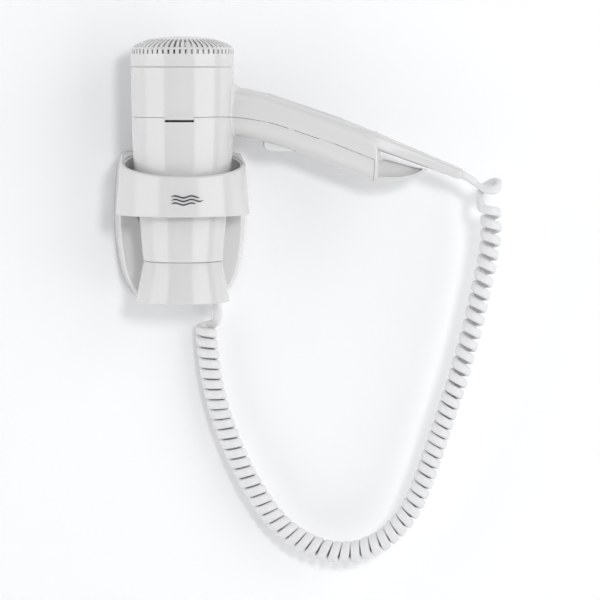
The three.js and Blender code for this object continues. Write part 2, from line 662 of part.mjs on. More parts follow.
piece(dryer, "heater_board_a", cut(boardX, notchX, coilRoom), mica);
piece(dryer, "heater_board_b", cut(boardY, notchY, coilRoom), mica);
piece(dryer, "heater_coil", coilBody, nichrome);
const sleeveInner = HEATER_RADIUS + SLACK;
const sleeve = cut(
  rod(sleeveInner + 0.7, HEATER_BOTTOM - 1, HEATER_TOP + 2, 32),
  rod(sleeveInner, HEATER_BOTTOM - 2, HEATER_TOP + 3, 32),
);
piece(dryer, "mica_sleeve", sleeve, mica);

const guardY = half + GAP;
const thermostat = join(
  block(-14, -6, guardY, guardY + 3, HEATER_TOP - 18, HEATER_TOP - 10),
  block(-11.5, -8.5, guardY + 2.9, guardY + 4.2, HEATER_TOP - 16, HEATER_TOP - 7.5),
);
piece(dryer, "thermostat", thermostat, steel);
const fuse = moved(rod(1.6, 0, 11, 12), new THREE.Matrix4().makeRotationY(Math.PI / 2));
piece(dryer, "thermal_fuse", shifted(fuse, 4, guardY + 1.7, HEATER_TOP - 7.4), steel);

// ---- Outlet grille just inside the nozzle's end ----
const grilleTop = NOZZLE_END + 4;
const grilleRadius = barrelRadius(NOZZLE_END) - WALL - SLACK / 2;
function grilleBody() {
  const bottom = NOZZLE_END + 1;
  const rings = [1, 0.66, 0.33].map((share) =>
    cut(
      rod(grilleRadius * share, bottom, grilleTop, 18),
      rod(grilleRadius * share - 1.6, bottom - 1, grilleTop + 1, 18),
    ),
  );
  const spokes = [0, 1, 2].map((i) => {
    const spoke = block(-grilleRadius + 0.8, grilleRadius - 0.8, -0.8, 0.8, bottom, grilleTop);
    return moved(spoke, new THREE.Matrix4().makeRotationZ((i * Math.PI) / 3));
  });
  return join(...rings, ...spokes);
}
piece(dryer, "outlet_grille", grilleBody(), blackPlastic);

// ---- Press bar, its springs and the run switch below it ----
const barGroup = new THREE.Group();
barGroup.applyMatrix4(barFrame);
dryer.add(barGroup);
const PLUNGER_X = 8; // along the bar from its middle
const SPRING_INSET = 7; // the springs stand this far in from the bar's ends
const FLANGE = 1.6;
const springSeat = -BAR_DEPTH - FLANGE - GAP;
const springFoot = springSeat - 6;
const carrierTop = springFoot - GAP;
const switchTop = carrierTop - 1.6 - GAP;
function barBody() {
  const top = pill(barLength, BAR_WIDTH, -BAR_DEPTH, 0);
  const flange = pill(barLength + 3, BAR_WIDTH + 3, -BAR_DEPTH - FLANGE, -BAR_DEPTH);
  const plungerEnd = switchTop + BAR_TRAVEL + GAP;
  const plunger = shifted(rod(2, plungerEnd, -BAR_DEPTH, 16), PLUNGER_X, 0, 0);
  return join(top, flange, plunger);
}
piece(barGroup, "press_bar", barBody(), satinWhite);

for (const [name, side] of [["bar_spring_near", -1], ["bar_spring_far", 1]]) {
  const ring = cut(rod(2.2, springFoot, springSeat, 16), rod(1.3, springFoot - 1, springSeat + 1, 16));
  const mesh = piece(barGroup, name, ring, steel);
  mesh.position.x = side * (barLength / 2 - SPRING_INSET);
}
const carrier = cut(
  pill(barLength + 2, HANDLE_DEPTH - 9, carrierTop - 1.6, carrierTop),
  block(PLUNGER_X - 3.5, PLUNGER_X + 3.5, -3.5, 3.5, carrierTop - 3, carrierTop + 1),
);
piece(barGroup, "switch_carrier", carrier, blackPlastic);
const runSwitch = join(
  block(PLUNGER_X - 10, PLUNGER_X + 10, -3.2, 3.2, switchTop - 8, switchTop),
  ...[-7, 0, 7].map((x) => {
    return block(PLUNGER_X + x - 0.4, PLUNGER_X + x + 0.4, -1.5, 1.5, switchTop - 11, switchTop - 7.9);
  }),
);
piece(barGroup, "run_switch", runSwitch, blackPlastic);

// ---- Level control and its switch ----
const lever = new THREE.Group();
dryer.add(lever);
const pivotHole = acrossRod(PIN_RADIUS + 0.1, LEVER_WIDTH + 2, LEVER_PIVOT_X, leverPivotZ);
const leverBody = slab(leverOutline(0), -LEVER_WIDTH / 2, LEVER_WIDTH / 2);
piece(lever, "level_lever", cut(leverBody, pivotHole), satinWhite);
const levelSwitchX = LEVER_PIVOT_X - 15; // its middle
const levelSwitchZ = tabled(HANDLE_OUTLINE, levelSwitchX, 2) + 11.2;
const levelSwitch = join(
  block(levelSwitchX - 9, levelSwitchX + 9, -4, 4, levelSwitchZ, levelSwitchZ + 7),
  ...[-5, 0, 5].map((x) => {
    const pinX = levelSwitchX + x;
    return block(pinX - 0.4, pinX + 0.4, -1.5, 1.5, levelSwitchZ + 6.9, levelSwitchZ + 9.6);
  }),
);
piece(dryer, "level_switch", levelSwitch, blackPlastic);
piece(dryer, "lever_pin", acrossRod(PIN_RADIUS, LEVER_WIDTH + 4, LEVER_PIVOT_X, leverPivotZ), steel);

// ---- Cord clamp: a bar screwed down on the cord where it enters the grip ----
const clampBar = cut(
  block(CLAMP_X - 4, CLAMP_X + 4, -CLAMP_HALF, CLAMP_HALF, clampSeat + GAP, clampSeat + GAP + 3),
  ...[-1, 1].map((side) => shifted(rod(CLAMP_SCREW + 0.3, 0, 200, 12), CLAMP_X, side * CLAMP_SPREAD, 0)),
);
piece(dryer, "cord_clamp", clampBar, satinWhite);
for (const [name, side] of [["clamp_screw_left", -1], ["clamp_screw_right", 1]]) {
  const mesh = piece(dryer, name, screw(9, CLAMP_SCREW), steel);
  mesh.position.set(CLAMP_X, side * CLAMP_SPREAD, clampSeat + 2 * GAP + 3);
}

// ---- Cord ----
// It runs from the clamp through the arm, out of the bend relief, into the coil, and from the coil's
// lower end up into the holder. It is a flat cable of two cores.
const CORD_SIDES = 8;
const flatAcross = ovalSection(CORD_WIDTH / 2, CORD_THICKNESS / 2, CORD_SIDES);
const flatUpright = ovalSection(CORD_THICKNESS / 2, CORD_WIDTH / 2, CORD_SIDES);
const RELIEF_INSIDE = 8;
const innerLead = tube(
  [
    new THREE.Vector3(CLAMP_X - 14, 0, clampedZ - 0.5),
    new THREE.Vector3(CLAMP_X, 0, clampedZ),
    new THREE.Vector3(CLAMP_X + 8, 0, clampedZ + 1.2),
    armPoint(-4, -2.4),
    armPoint(8, -0.4),
    armPoint(ARM_LENGTH - RELIEF_INSIDE - GAP),
  ],
  flatAcross,
  14,
);
piece(dryer, "cord_in_arm", innerLead, satinWhite);

// Rings square to a path in the dryer's middle plane: [point, half width, half height].
function taperedTube(stations) {
  const rings = stations.map(([point, halfWidth, halfHeight], i) => {
    const before = stations[Math.max(i - 1, 0)][0];
    const after = stations[Math.min(i + 1, stations.length - 1)][0];
    const along = after.clone().sub(before).normalize();
    const up = new THREE.Vector3(-along.z, 0, along.x);
    return squareRing(16, 1, (across, raise) => {
      return point
        .clone()
        .add(new THREE.Vector3(0, halfWidth * across, 0))
        .addScaledVector(up, halfHeight * raise);
    });
  });
  return loft(rings);
}
const beyondArm = (x, z, y = 0) => armPoint(ARM_LENGTH).add(new THREE.Vector3(x, y, z));
const relief = taperedTube([
  [armPoint(ARM_LENGTH - RELIEF_INSIDE), 4.6, 2.7],
  [armPoint(ARM_LENGTH - 1), 4.6, 2.7],
  [armPoint(ARM_LENGTH + 1), 4.4, 3.3],
  [beyondArm(6.2, -2.8), 4.2, 3.1],
  [beyondArm(12, -7.2), 3.9, 2.9],
]);
piece(dryer, "bend_relief", relief, satinWhite);
const outerLead = tube(
  [beyondArm(12.3, -7.5), beyondArm(18.2, -10.8, 0.2), beyondArm(22.6, -13.2, 0.8), beyondArm(24, -18, 1.4)],
  flatAcross,
  6,
);
piece(dryer, "cord_lead_dryer", outerLead, satinWhite);

// The coil, as one tube of its outside diameter, in the room's axes.
const COIL_ROUTE = [
  [20.3, -13.1, -80.4],
  [20.6, -13.1, -91],
  [22.2, -13.4, -107],
  [24.9, -13.9, -125.5],
  [30.4, -14.9, -149.2],
  [35.9, -16, -165.1],
  [42.9, -17.3, -182.7],
  [50.7, -18.7, -199.5],
  [60.9, -20.6, -217.1],
  [71.9, -22.7, -233.2],
  [84.4, -25, -245.9],
  [99.4, -27.8, -255.4],
  [115, -30.7, -260.9],
  [130.8, -33.6, -262.2],
  [144.6, -36.1, -259.1],
  [158.2, -38.8, -252.2],
  [170.2, -41.1, -241.6],
  [180, -42.8, -228.3],
  [187.6, -44.3, -212.1],
  [194, -45.4, -194.5],
  [205.6, -47.6, -158.9],
  [217.1, -49.7, -122.5],
  [227.1, -51.6, -85.9],
  [235.2, -53.2, -50.1],
  [239.3, -53.9, -30.3],
  [242, -54.4, -11.3],
  [242.4, -54.4, 4.8],
  [240.6, -54.2, 20.6],
];
// Each end of the route goes along with the point that it leaves: the gland, and the arm's end.
const holderShift = new THREE.Vector3(28.8, -13, -59).sub(CORD_EXIT).negate();
const armShift = new THREE.Vector3(218.2, -56, 39.4).sub(armPoint(ARM_LENGTH).setY(-AXIS_TO_WALL)).negate();
const coilRoute = COIL_ROUTE.map(([x, y, z], i) => {
  const share = THREE.MathUtils.smoothstep(i, 2, COIL_ROUTE.length - 3);
  const shift = holderShift.clone().lerp(armShift, share);
  return new THREE.Vector3(x, y, z).add(shift);
});
const coil = tube(coilRoute, ovalSection(COIL_RADIUS, COIL_RADIUS, 10), 30);
piece(cord, "cord_coil", coil, satinWhite);

const GLAND_TIP = CORD_EXIT.z - 10;
const lowerLead = tube(
  [
    new THREE.Vector3(CORD_EXIT.x, CORD_EXIT.y, GLAND_TIP - GAP),
    new THREE.Vector3(CORD_EXIT.x, CORD_EXIT.y, GLAND_TIP - 3),
    new THREE.Vector3(CORD_EXIT.x - 1.4, CORD_EXIT.y, coilRoute[0].z + 3.6),
    new THREE.Vector3(CORD_EXIT.x - 1.6, CORD_EXIT.y, coilRoute[0].z + 2 * GAP),
  ],
  flatUpright,
  4,
);
piece(cord, "cord_lead_holder", lowerLead, satinWhite);

// ---- Wall holder ----
// Half its outline, from the lower to the upper edge: share of the half width, share of the height.
const SHIELD_OUTLINE = [
  [0.66, 0],
  [0.7, 0.014],
  [0.87, 0.139],
  [0.956, 0.313],
  [0.996, 0.47],
  [1, 0.583],
  [0.99, 0.739],
  [0.955, 0.896],
  [0.93, 0.952],
  [0.88, 0.987],
  [0.8, 1],
];

// The outline at a distance from the wall, each side and the top brought in by an inset.
function shieldRing(y, inset) {
  const narrowing = 1 - inset / HOLDER_HALF_WIDTH;
  const height = HOLDER_TOP - HOLDER_BOTTOM - inset;
  const right = SHIELD_OUTLINE.map(([share, rise]) => {
    return new THREE.Vector3(share * HOLDER_HALF_WIDTH * narrowing, y, HOLDER_BOTTOM + rise * height);
  });
  const left = right.map((point) => point.clone().setX(-point.x)).reverse();
  return [...right, ...left];
}

// The slanting plane of the collar's lip: it meets the housing's top and falls towards the room.
const collarReach = AXIS_TO_WALL + COLLAR_TOP_RADIUS - HOLDER_DEPTH;
const lipSlope = Math.atan2(HOLDER_TOP - COLLAR_FRONT, collarReach);
const lipFrame = new THREE.Matrix4()
  .makeTranslation(0, -HOLDER_DEPTH, HOLDER_TOP)
  .multiply(new THREE.Matrix4().makeRotationX(lipSlope));

function collarRadius(height) {
  const share = (height - COLLAR_BOTTOM) / (HOLDER_TOP - COLLAR_BOTTOM);
  return THREE.MathUtils.lerp(COLLAR_BOTTOM_RADIUS, COLLAR_TOP_RADIUS, share);
}

// A ring of the collar's outside: half round in front, straight back to the housing at the sides.
function collarRing(height) {
  const radius = collarRadius(height);
  const ring = [];
  for (let i = 0; i <= 24; i++) {
    const angle = Math.PI + (i / 24) * Math.PI;
    ring.push(new THREE.Vector3(radius * Math.cos(angle), radius * Math.sin(angle) - AXIS_TO_WALL, height));
  }
  const rootHalf = HOLDER_HALF_WIDTH - HOLDER_DRAFT - 1.4;
  ring.push(new THREE.Vector3(rootHalf, -HOLDER_DEPTH + 1, height));
  ring.push(new THREE.Vector3(-rootHalf, -HOLDER_DEPTH + 1, height));
  return ring;
}

// What the barrel and the air leave free, grown by a margin.
function wellBody(grow) {
  const seat = NOZZLE_END - GAP;
  const skirtTop = NOZZLE_RADIUS - 0.4 - SKIRT_WALL;
  return shifted(
    turned([
      [0, HOLDER_BOTTOM - 5],
      [SKIRT_RADIUS - SKIRT_WALL + grow, HOLDER_BOTTOM - 5],
      [SKIRT_RADIUS - SKIRT_WALL + grow, HOLDER_BOTTOM],
      [skirtTop + grow, seat + grow],
      [NOZZLE_RADIUS + 4 + grow, seat + grow * 1.2],
      [COLLAR_BOTTOM_RADIUS - COLLAR_WALL + grow, COLLAR_BOTTOM],
      [COLLAR_TOP_RADIUS - COLLAR_WALL + grow, HOLDER_TOP],
      [COLLAR_TOP_RADIUS - COLLAR_WALL + grow, HOLDER_TOP + 30],
      [0, HOLDER_TOP + 30],
    ]),
    0,
    -AXIS_TO_WALL,
    0,
  );
}

function holderBody() {
  const front = -HOLDER_DEPTH;
  const shield = loft([
    shieldRing(-GAP, 0),
    shieldRing(front + 1.6, HOLDER_DRAFT),
    shieldRing(front + 0.4, HOLDER_DRAFT + 0.6),
    shieldRing(front, HOLDER_DRAFT + 1.6),
  ]);
  const skirt = turned([
    [0, HOLDER_BOTTOM],
    [SKIRT_RADIUS, HOLDER_BOTTOM],
    [NOZZLE_RADIUS - 0.4, NOZZLE_END - GAP],
    [0, NOZZLE_END - GAP],
  ]);
  const collar = cut(
    loft([collarRing(COLLAR_BOTTOM), collarRing(HOLDER_TOP + 6)]),
    moved(block(-REACH, REACH, -3 * REACH, REACH, 0, REACH), lipFrame),
  );
  const hollow = loft([shieldRing(1, WALL), shieldRing(front + WALL, HOLDER_DRAFT + WALL)]).intersect(
    block(-REACH, REACH, -REACH, REACH, HOLDER_BOTTOM + WALL, HOLDER_TOP - WALL),
  );
  const outside = join(shield, shifted(skirt, 0, -AXIS_TO_WALL, 0), collar);
  const glandHole = rod(GLAND_NECK + GAP, HOLDER_BOTTOM - 1, HOLDER_BOTTOM + 8, 20);
  const lockHole = rod(1.8, HOLDER_BOTTOM - 1, HOLDER_BOTTOM + 8, 16);
  return cut(
    outside,
    wellBody(0),
    cut(hollow, wellBody(WALL)),
    shifted(glandHole, CORD_EXIT.x, CORD_EXIT.y, 0),
    shifted(lockHole, LOCK_X, LOCK_Y, 0),
  );
}
piece(holder, "holder_body", holderBody(), glossWhite);

// ---- Wall plate: the housing hangs over it and is locked by a screw from below ----
const plateInset = WALL + SLACK + 0.4;
const footBottom = HOLDER_BOTTOM + WALL + GAP;
const MAINS_HOLE = 8;
const MAINS_X = -14;
const MAINS_Z = -6;
function plateBody() {
  const sheet = loft([shieldRing(0, plateInset), shieldRing(-PLATE_THICKNESS, plateInset)]).intersect(
    block(-REACH, REACH, -REACH, REACH, footBottom, HOLDER_TOP - WALL - SLACK),
  );
  const foot = block(LOCK_X - 6, LOCK_X + 6, LOCK_Y - 5, -PLATE_THICKNESS + 1, footBottom, footBottom + 8);
  const holes = WALL_SCREW_Z.flatMap((z) =>
    [-1, 1].map((side) => alongY(rod(2.3, -5, 20, 16), side * WALL_SCREW_X, 0, z)),
  );
  const lock = shifted(rod(1.3, footBottom - 1, footBottom + 7, 16), LOCK_X, LOCK_Y, 0);
  const mains = alongY(rod(MAINS_HOLE, -5, 20), MAINS_X, 0, MAINS_Z);
  return cut(join(sheet, foot), ...holes, lock, mains);
}

// A rod made along Z turned so that its upper end points into the room, then moved.
function alongY(body, x, y, z) {
  return shifted(moved(body, new THREE.Matrix4().makeRotationX(Math.PI / 2)), x, y, z);
}
piece(holder, "wall_plate", plateBody(), greyPlastic);
for (const z of WALL_SCREW_Z) {
  for (const side of [-1, 1]) {
    const name = `wall_screw_${z > WALL_SCREW_Z[0] ? "upper" : "lower"}_${side > 0 ? "right" : "left"}`;
    const mesh = piece(holder, name, screw(PLATE_THICKNESS, 2), steel);
    mesh.rotation.x = Math.PI / 2;
    mesh.position.set(side * WALL_SCREW_X, -PLATE_THICKNESS - GAP, z);
  }
}
const lockScrew = piece(holder, "lock_screw", screw(9, 1.1), steel);
lockScrew.rotation.x = Math.PI;
lockScrew.position.set(LOCK_X, LOCK_Y, HOLDER_BOTTOM - GAP);

// ---- Mains terminal block ----
const BLOCK_X = 6;
const BLOCK_Z = HOLDER_BOTTOM + 15;
const terminalBlock = cut(
  block(BLOCK_X - 12, BLOCK_X + 12, -15, -PLATE_THICKNESS - GAP, BLOCK_Z - 8, BLOCK_Z + 8),
  ...[-8, 0, 8].map((x) => alongY(rod(2.2, 9, 20, 16), BLOCK_X + x, 0, BLOCK_Z)),
);
piece(holder, "terminal_block", terminalBlock, satinWhite);
["line", "spare", "neutral"].forEach((name, i) => {
  const mesh = piece(holder, `terminal_screw_${name}`, rod(1.8, -1, 3, 16), steel);
  mesh.rotation.x = Math.PI / 2;
  mesh.position.set(BLOCK_X + (i - 1) * 8, -9 - GAP - 1, BLOCK_Z);
});

// ---- Cord gland and the cord inside the holder ----
const glandTop = HOLDER_BOTTOM + WALL + 3;
const glandSeat = HOLDER_BOTTOM + WALL + GAP;
const glandNeck = turned(
  [
    [0, GLAND_TIP],
    [3.8, GLAND_TIP],
    [GLAND_NECK - 0.2, CORD_EXIT.z - 2],
    [GLAND_NECK, CORD_EXIT.z],
    [GLAND_NECK, glandSeat],
    [0, glandSeat + 1],
  ],
  16,
);
const gland = join(glandNeck, block(-GLAND_NECK - 1.6, 3.4, -5.6, 5.6, glandSeat, glandTop));
piece(holder, "cord_gland", shifted(gland, CORD_EXIT.x, CORD_EXIT.y, 0), satinWhite);
const holderLead = tube(
  [
    new THREE.Vector3(CORD_EXIT.x, CORD_EXIT.y, glandTop + GAP),
    new THREE.Vector3(CORD_EXIT.x, CORD_EXIT.y + 0.2, glandTop + 4),
    new THREE.Vector3(CORD_EXIT.x - 3.5, CORD_EXIT.y + 3, BLOCK_Z - 1),
    new THREE.Vector3(BLOCK_X + 12 + 1.2, CORD_EXIT.y + 4, BLOCK_Z),
  ],
  ovalSection(CORD_THICKNESS / 2, CORD_THICKNESS / 2, CORD_SIDES),
  8,
);
piece(holder, "cord_in_holder", holderLead, satinWhite);

export default root;
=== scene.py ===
import math
import bpy
from mathutils import Matrix, Vector


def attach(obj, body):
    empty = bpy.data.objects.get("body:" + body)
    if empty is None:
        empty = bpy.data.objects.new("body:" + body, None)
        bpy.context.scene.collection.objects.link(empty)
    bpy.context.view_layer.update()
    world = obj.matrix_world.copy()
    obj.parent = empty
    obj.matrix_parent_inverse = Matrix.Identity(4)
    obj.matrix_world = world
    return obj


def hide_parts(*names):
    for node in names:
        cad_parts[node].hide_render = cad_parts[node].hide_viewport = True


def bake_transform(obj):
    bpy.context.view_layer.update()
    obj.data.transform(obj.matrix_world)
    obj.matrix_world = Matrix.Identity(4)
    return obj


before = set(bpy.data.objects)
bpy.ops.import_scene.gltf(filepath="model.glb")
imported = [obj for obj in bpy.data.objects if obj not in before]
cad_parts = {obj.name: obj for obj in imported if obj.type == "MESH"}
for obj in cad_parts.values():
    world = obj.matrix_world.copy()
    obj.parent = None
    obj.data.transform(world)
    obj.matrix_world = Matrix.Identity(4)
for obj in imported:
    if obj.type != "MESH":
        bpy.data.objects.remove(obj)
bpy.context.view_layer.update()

# ---- The room ----
# The dryer hangs on a plain white wall, with a pale floor far below it. From behind, both are clear,
# so that the back of the holder can be looked at.
def deselect():
    bpy.ops.object.select_all(action="DESELECT")


def see_through_from_behind(surface, name, colour):
    paint = bpy.data.materials.new(name)
    paint.use_nodes = True
    tree = paint.node_tree
    tree.nodes.clear()
    output = tree.nodes.new("ShaderNodeOutputMaterial")
    front = tree.nodes.new("ShaderNodeBsdfPrincipled")
    front.inputs["Base Color"].default_value = (*colour, 1)
    front.inputs["Roughness"].default_value = 0.9
    front.inputs["Specular IOR Level"].default_value = 0.1
    clear = tree.nodes.new("ShaderNodeBsdfTransparent")
    side = tree.nodes.new("ShaderNodeNewGeometry")
    choice = tree.nodes.new("ShaderNodeMixShader")
    tree.links.new(side.outputs["Backfacing"], choice.inputs[0])
    tree.links.new(front.outputs[0], choice.inputs[1])
    tree.links.new(clear.outputs[0], choice.inputs[2])
    tree.links.new(choice.outputs[0], output.inputs[0])
    surface.data.materials.append(paint)


ROOM_SIZE = 7
WALL_MIDDLE = (0.09, 0.0012, 0.6)
FLOOR_MIDDLE = (0.09, -3.4, -1.1)
deselect()
bpy.ops.mesh.primitive_plane_add(size=ROOM_SIZE, location=WALL_MIDDLE, rotation=(math.radians(90), 0, 0))
wall = bpy.context.object
wall.name = "room_wall"
see_through_from_behind(wall, "wall_paint", (0.93, 0.93, 0.93))
deselect()
bpy.ops.mesh.primitive_plane_add(size=ROOM_SIZE, location=FLOOR_MIDDLE)
floor = bpy.context.object
floor.name = "room_floor"
see_through_from_behind(floor, "floor_paint", (0.8, 0.8, 0.8))

# ---- Camera ----
# In front of the holder, a little to its left and above it, with a long lens, so that upright edges
# stay upright and the whole cord is in view.
AIM = Vector((0.0916, -0.056, -0.0587))
AZIMUTH = math.radians(-4.6)
ELEVATION = math.radians(4.5)
DISTANCE = 2.4
LENS, SENSOR = 183.8, 36
bpy.ops.object.camera_add()
camera = bpy.context.object
back = Vector((
    math.sin(AZIMUTH) * math.cos(ELEVATION),
    -math.cos(AZIMUTH) * math.cos(ELEVATION),
    math.sin(ELEVATION),
))
camera.location = AIM + DISTANCE * back
camera.rotation_euler = (math.pi / 2 - ELEVATION, 0, AZIMUTH)
camera.data.lens = LENS
camera.data.sensor_width = SENSOR
bpy.context.scene.camera = camera
bpy.context.scene.view_settings.view_transform = "Standard"

# ---- Light ----
# Two wide soft boxes at the sides mirror in the gloss and leave the middle of the barrel a shade
# darker. A box above and right of the lens draws the soft shadow on the wall, without a mirror image.
def soft_box(name, place, size, watts, mirrored=True, aim=(0.06, -0.05, 0.0)):
    bpy.ops.object.light_add(type="AREA", location=place)
    box = bpy.context.object
    box.name = name
    box.data.shape = "RECTANGLE"
    box.data.size, box.data.size_y = size
    box.data.energy = watts
    box.visible_glossy = mirrored
    box.rotation_euler = (Vector(aim) - Vector(place)).to_track_quat("-Z", "Y").to_euler()


soft_box("box_left", (-1.76, -0.76, 0.1), (1.7, 2.4), 19)
soft_box("box_right", (1.41, -1.27, 0.1), (1.7, 2.4), 19)
soft_box("box_key", (0.4, -2.4, 0.5), (0.3, 0.3), 15, mirrored=False)
soft_box("box_top", (0.1, -1.0, 1.7), (1.6, 1.2), 2.5)
AROUND, AROUND_STRENGTH = (0.9, 0.93, 1, 1), 0.3
world = bpy.data.worlds.new("studio")
bpy.context.scene.world = world
world.use_nodes = True
background = world.node_tree.nodes["Background"]
background.inputs["Color"].default_value = AROUND
background.inputs["Strength"].default_value = AROUND_STRENGTH

# ---- Curly cord ----
# A flat two-core PVC cable, set into a left-hand helix in the factory. It comes straight down out of
# the holder's gland, hangs in a loop of 62 turns, and goes up into the relief at the arm's end.
MM = 0.001
CORD_WIDTH = 7.2
CORD_THICKNESS = 5.2
TURN_RADIUS = 6.15
CLOSE_PITCH = 8.35
OPEN_PITCH = 10.6
STEPS_A_TURN = 28
GLAND_MOUTH = Vector((28.8, -13, -66))
RELIEF_MOUTH = Vector((229.4, -56, 32.6))
COIL_ROUTE = [Vector(point) for point in (
    (20.3, -13.1, -80.4), (20.6, -13.1, -91), (22.2, -13.4, -107), (24.9, -13.9, -125.5),
    (30.4, -14.9, -149.2), (35.9, -16, -165.1), (42.9, -17.3, -182.7), (50.7, -18.7, -199.5),
    (60.9, -20.6, -217.1), (71.9, -22.7, -233.2), (84.4, -25, -245.9), (99.4, -27.8, -255.4),
    (115, -30.7, -260.9), (130.8, -33.6, -262.2), (144.6, -36.1, -259.1), (158.2, -38.8, -252.2),
    (170.2, -41.1, -241.6), (180, -42.8, -228.3), (187.6, -44.3, -212.1), (194, -45.4, -194.5),
    (205.6, -47.6, -158.9), (217.1, -49.7, -122.5), (227.1, -51.6, -85.9), (235.2, -53.2, -50.1),
    (239.3, -53.9, -30.3), (242, -54.4, -11.3), (242.4, -54.4, 4.8), (240.6, -54.2, 20.6),
)]
OPENING_START, OPENING_END = 0.66, 0.82
ROUTE_STEP = 0.3
LEAD_SKIPPED, LEAD_STEPS, LEAD_DROP, LEAD_PULL = 4, 16, 14, 28
CABLE_SIDES, CABLE_SQUARENESS = 16, 0.75


class Flow:
    """A value in a material's node tree, so that a finish reads as its formula."""

    def __init__(self, finish, socket):
        self.finish = finish
        self.socket = socket

    def sum(self, operation, first, second):
        node = self.finish.node("ShaderNodeMath", {"operation": operation}, {0: first, 1: second})
        return Flow(self.finish, node.outputs[0])

    def __add__(self, other):
        return self.sum("ADD", self, other)

    def __radd__(self, other):
        return self.sum("ADD", other, self)

    def __mul__(self, other):
        return self.sum("MULTIPLY", self, other)

    def __rmul__(self, other):
        return self.sum("MULTIPLY", other, self)



class Finish:
    """A material with one Principled shader."""

    def __init__(self, name, colour, roughness, **even):
        self.material = bpy.data.materials.new(name)
        self.material.use_nodes = True
        self.tree = self.material.node_tree
        self.shader = self.tree.nodes["Principled BSDF"]
        self.shader.inputs["Base Color"].default_value = (*colour, 1)
        self.shader.inputs["Roughness"].default_value = roughness
        for socket, value in even.items():
            self.shader.inputs[socket.replace("_", " ")].default_value = value

    def feed(self, socket, value):
        if isinstance(value, Flow):
            self.tree.links.new(value.socket, socket)
        else:
            socket.default_value = value

    def node(self, kind, settings, inputs):
        made = self.tree.nodes.new(kind)
        for setting, value in settings.items():
            setattr(made, setting, value)
        for socket, value in inputs.items():
            self.feed(made.inputs[socket], value)
        return made

    def place(self, stretch=(1, 1, 1), turn=(0, 0, 0)):
        where = Flow(self, self.node("ShaderNodeTexCoord", {}, {}).outputs["Object"])
        mapping = self.node("ShaderNodeMapping", {}, {"Vector": where, "Scale": stretch, "Rotation": turn})
        return Flow(self, mapping.outputs[0])

    def noise(self, size, detail=2.0, stretch=(1, 1, 1)):
        """Soft noise with features of that size in metres."""
        made = self.node("ShaderNodeTexNoise", {}, {
            "Vector": self.place(stretch), "Scale": 1 / size, "Detail": detail})
        return Flow(self, made.outputs["Fac"])

    def tint(self, amount, first, second):
        colours = {0: amount, 6: (*first, 1), 7: (*second, 1)}
        made = self.node("ShaderNodeMix", {"data_type": "RGBA"}, colours)
        return Flow(self, made.outputs[2])

    def set(self, socket, value):
        self.feed(self.shader.inputs[socket], value)

    def bump(self, height, depth):
        made = self.node("ShaderNodeBump", {}, {"Height": height, "Distance": depth, "Strength": 1.0})
        self.set("Normal", Flow(self, made.outputs[0]))

    def wear(self, *pieces):
        for piece in pieces:
            piece.data.materials.clear()
            piece.data.materials.append(self.material)


FLOW_SIZE, GLOSS_SIZE, GLOSS_SPREAD = 0.045, 0.012, 0.08


def moulded(name, colour, roughness, shade=0.965, grain=0.0009, depth=0.0000025, **even):
    """Moulded plastic: faint flow marks in its colour, a slightly uneven gloss, a fine skin grain."""
    finish = Finish(name, colour, roughness, **even)
    flow = finish.noise(FLOW_SIZE, 3.0)
    darker = tuple(shade * c for c in colour)
    finish.set("Base Color", finish.tint(flow, colour, darker))
    finish.set("Roughness", finish.noise(GLOSS_SIZE, 2.0) * GLOSS_SPREAD + (roughness - GLOSS_SPREAD / 2))
    finish.bump(finish.noise(grain, 2.0), depth)
    return finish


def smooth_line(points, step):
    """Points a step apart on a smooth curve through the given ones."""
    line = []
    for i in range(len(points) - 1):
        before = points[i - 1] if i else 2 * points[0] - points[1]
        after = points[i + 2] if i + 2 < len(points) else 2 * points[-1] - points[-2]
        start, end = points[i], points[i + 1]
        pieces = max(2, round((end - start).length / step))
        for k in range(pieces):
            t = k / pieces
            line.append(0.5 * (
                2 * start
                + (end - before) * t
                + (2 * before - 5 * start + 4 * end - after) * t * t
                + (3 * start - before - 3 * end + after) * t ** 3
            ))
    line.append(points[-1].copy())
    return line


def smoothstep(low, high, value):
    t = min(1, max(0, (value - low) / (high - low)))
    return t * t * (3 - 2 * t)


def hermite(start, leaving, end, arriving, count):
    """Points between two ends, on a curve with the given directions and pulls there."""
    points = []
    for k in range(1, count):
        t = k / count
        points.append(
            start * (2 * t ** 3 - 3 * t * t + 1)
            + leaving * (t ** 3 - 2 * t * t + t)
            + end * (3 * t * t - 2 * t ** 3)
            + arriving * (t ** 3 - t * t)
        )
    return points


def curly_line():
    """The helix along the route, as points and the direction of the cable's width at each."""
    route = smooth_line(COIL_ROUTE, ROUTE_STEP)
    total = sum((b - a).length for a, b in zip(route, route[1:]))
    reach = COIL_ROUTE[-1] - COIL_ROUTE[0]
    sideways = Vector((-reach.y, reach.x, 0)).normalized()
    points, widths = [], []
    travelled, turned, due = 0.0, 0.0, 0.0
    for a, b in zip(route, route[1:]):
        along = (b - a).normalized()
        outward = sideways.cross(along)
        share = travelled / total
        pitch = CLOSE_PITCH + (OPEN_PITCH - CLOSE_PITCH) * smoothstep(OPENING_START, OPENING_END, share)
        pitch *= 1 + 0.035 * math.sin(travelled * 0.11) * math.sin(travelled * 0.047 + 1)
        if turned >= due:
            angle = 2 * math.pi * turned
            ring = outward * math.cos(angle) - sideways * math.sin(angle)
            points.append(a - ring * TURN_RADIUS)
            widths.append(along)
            due += 1 / STEPS_A_TURN
        travelled += (b - a).length
        turned += (b - a).length / pitch
    return points, widths


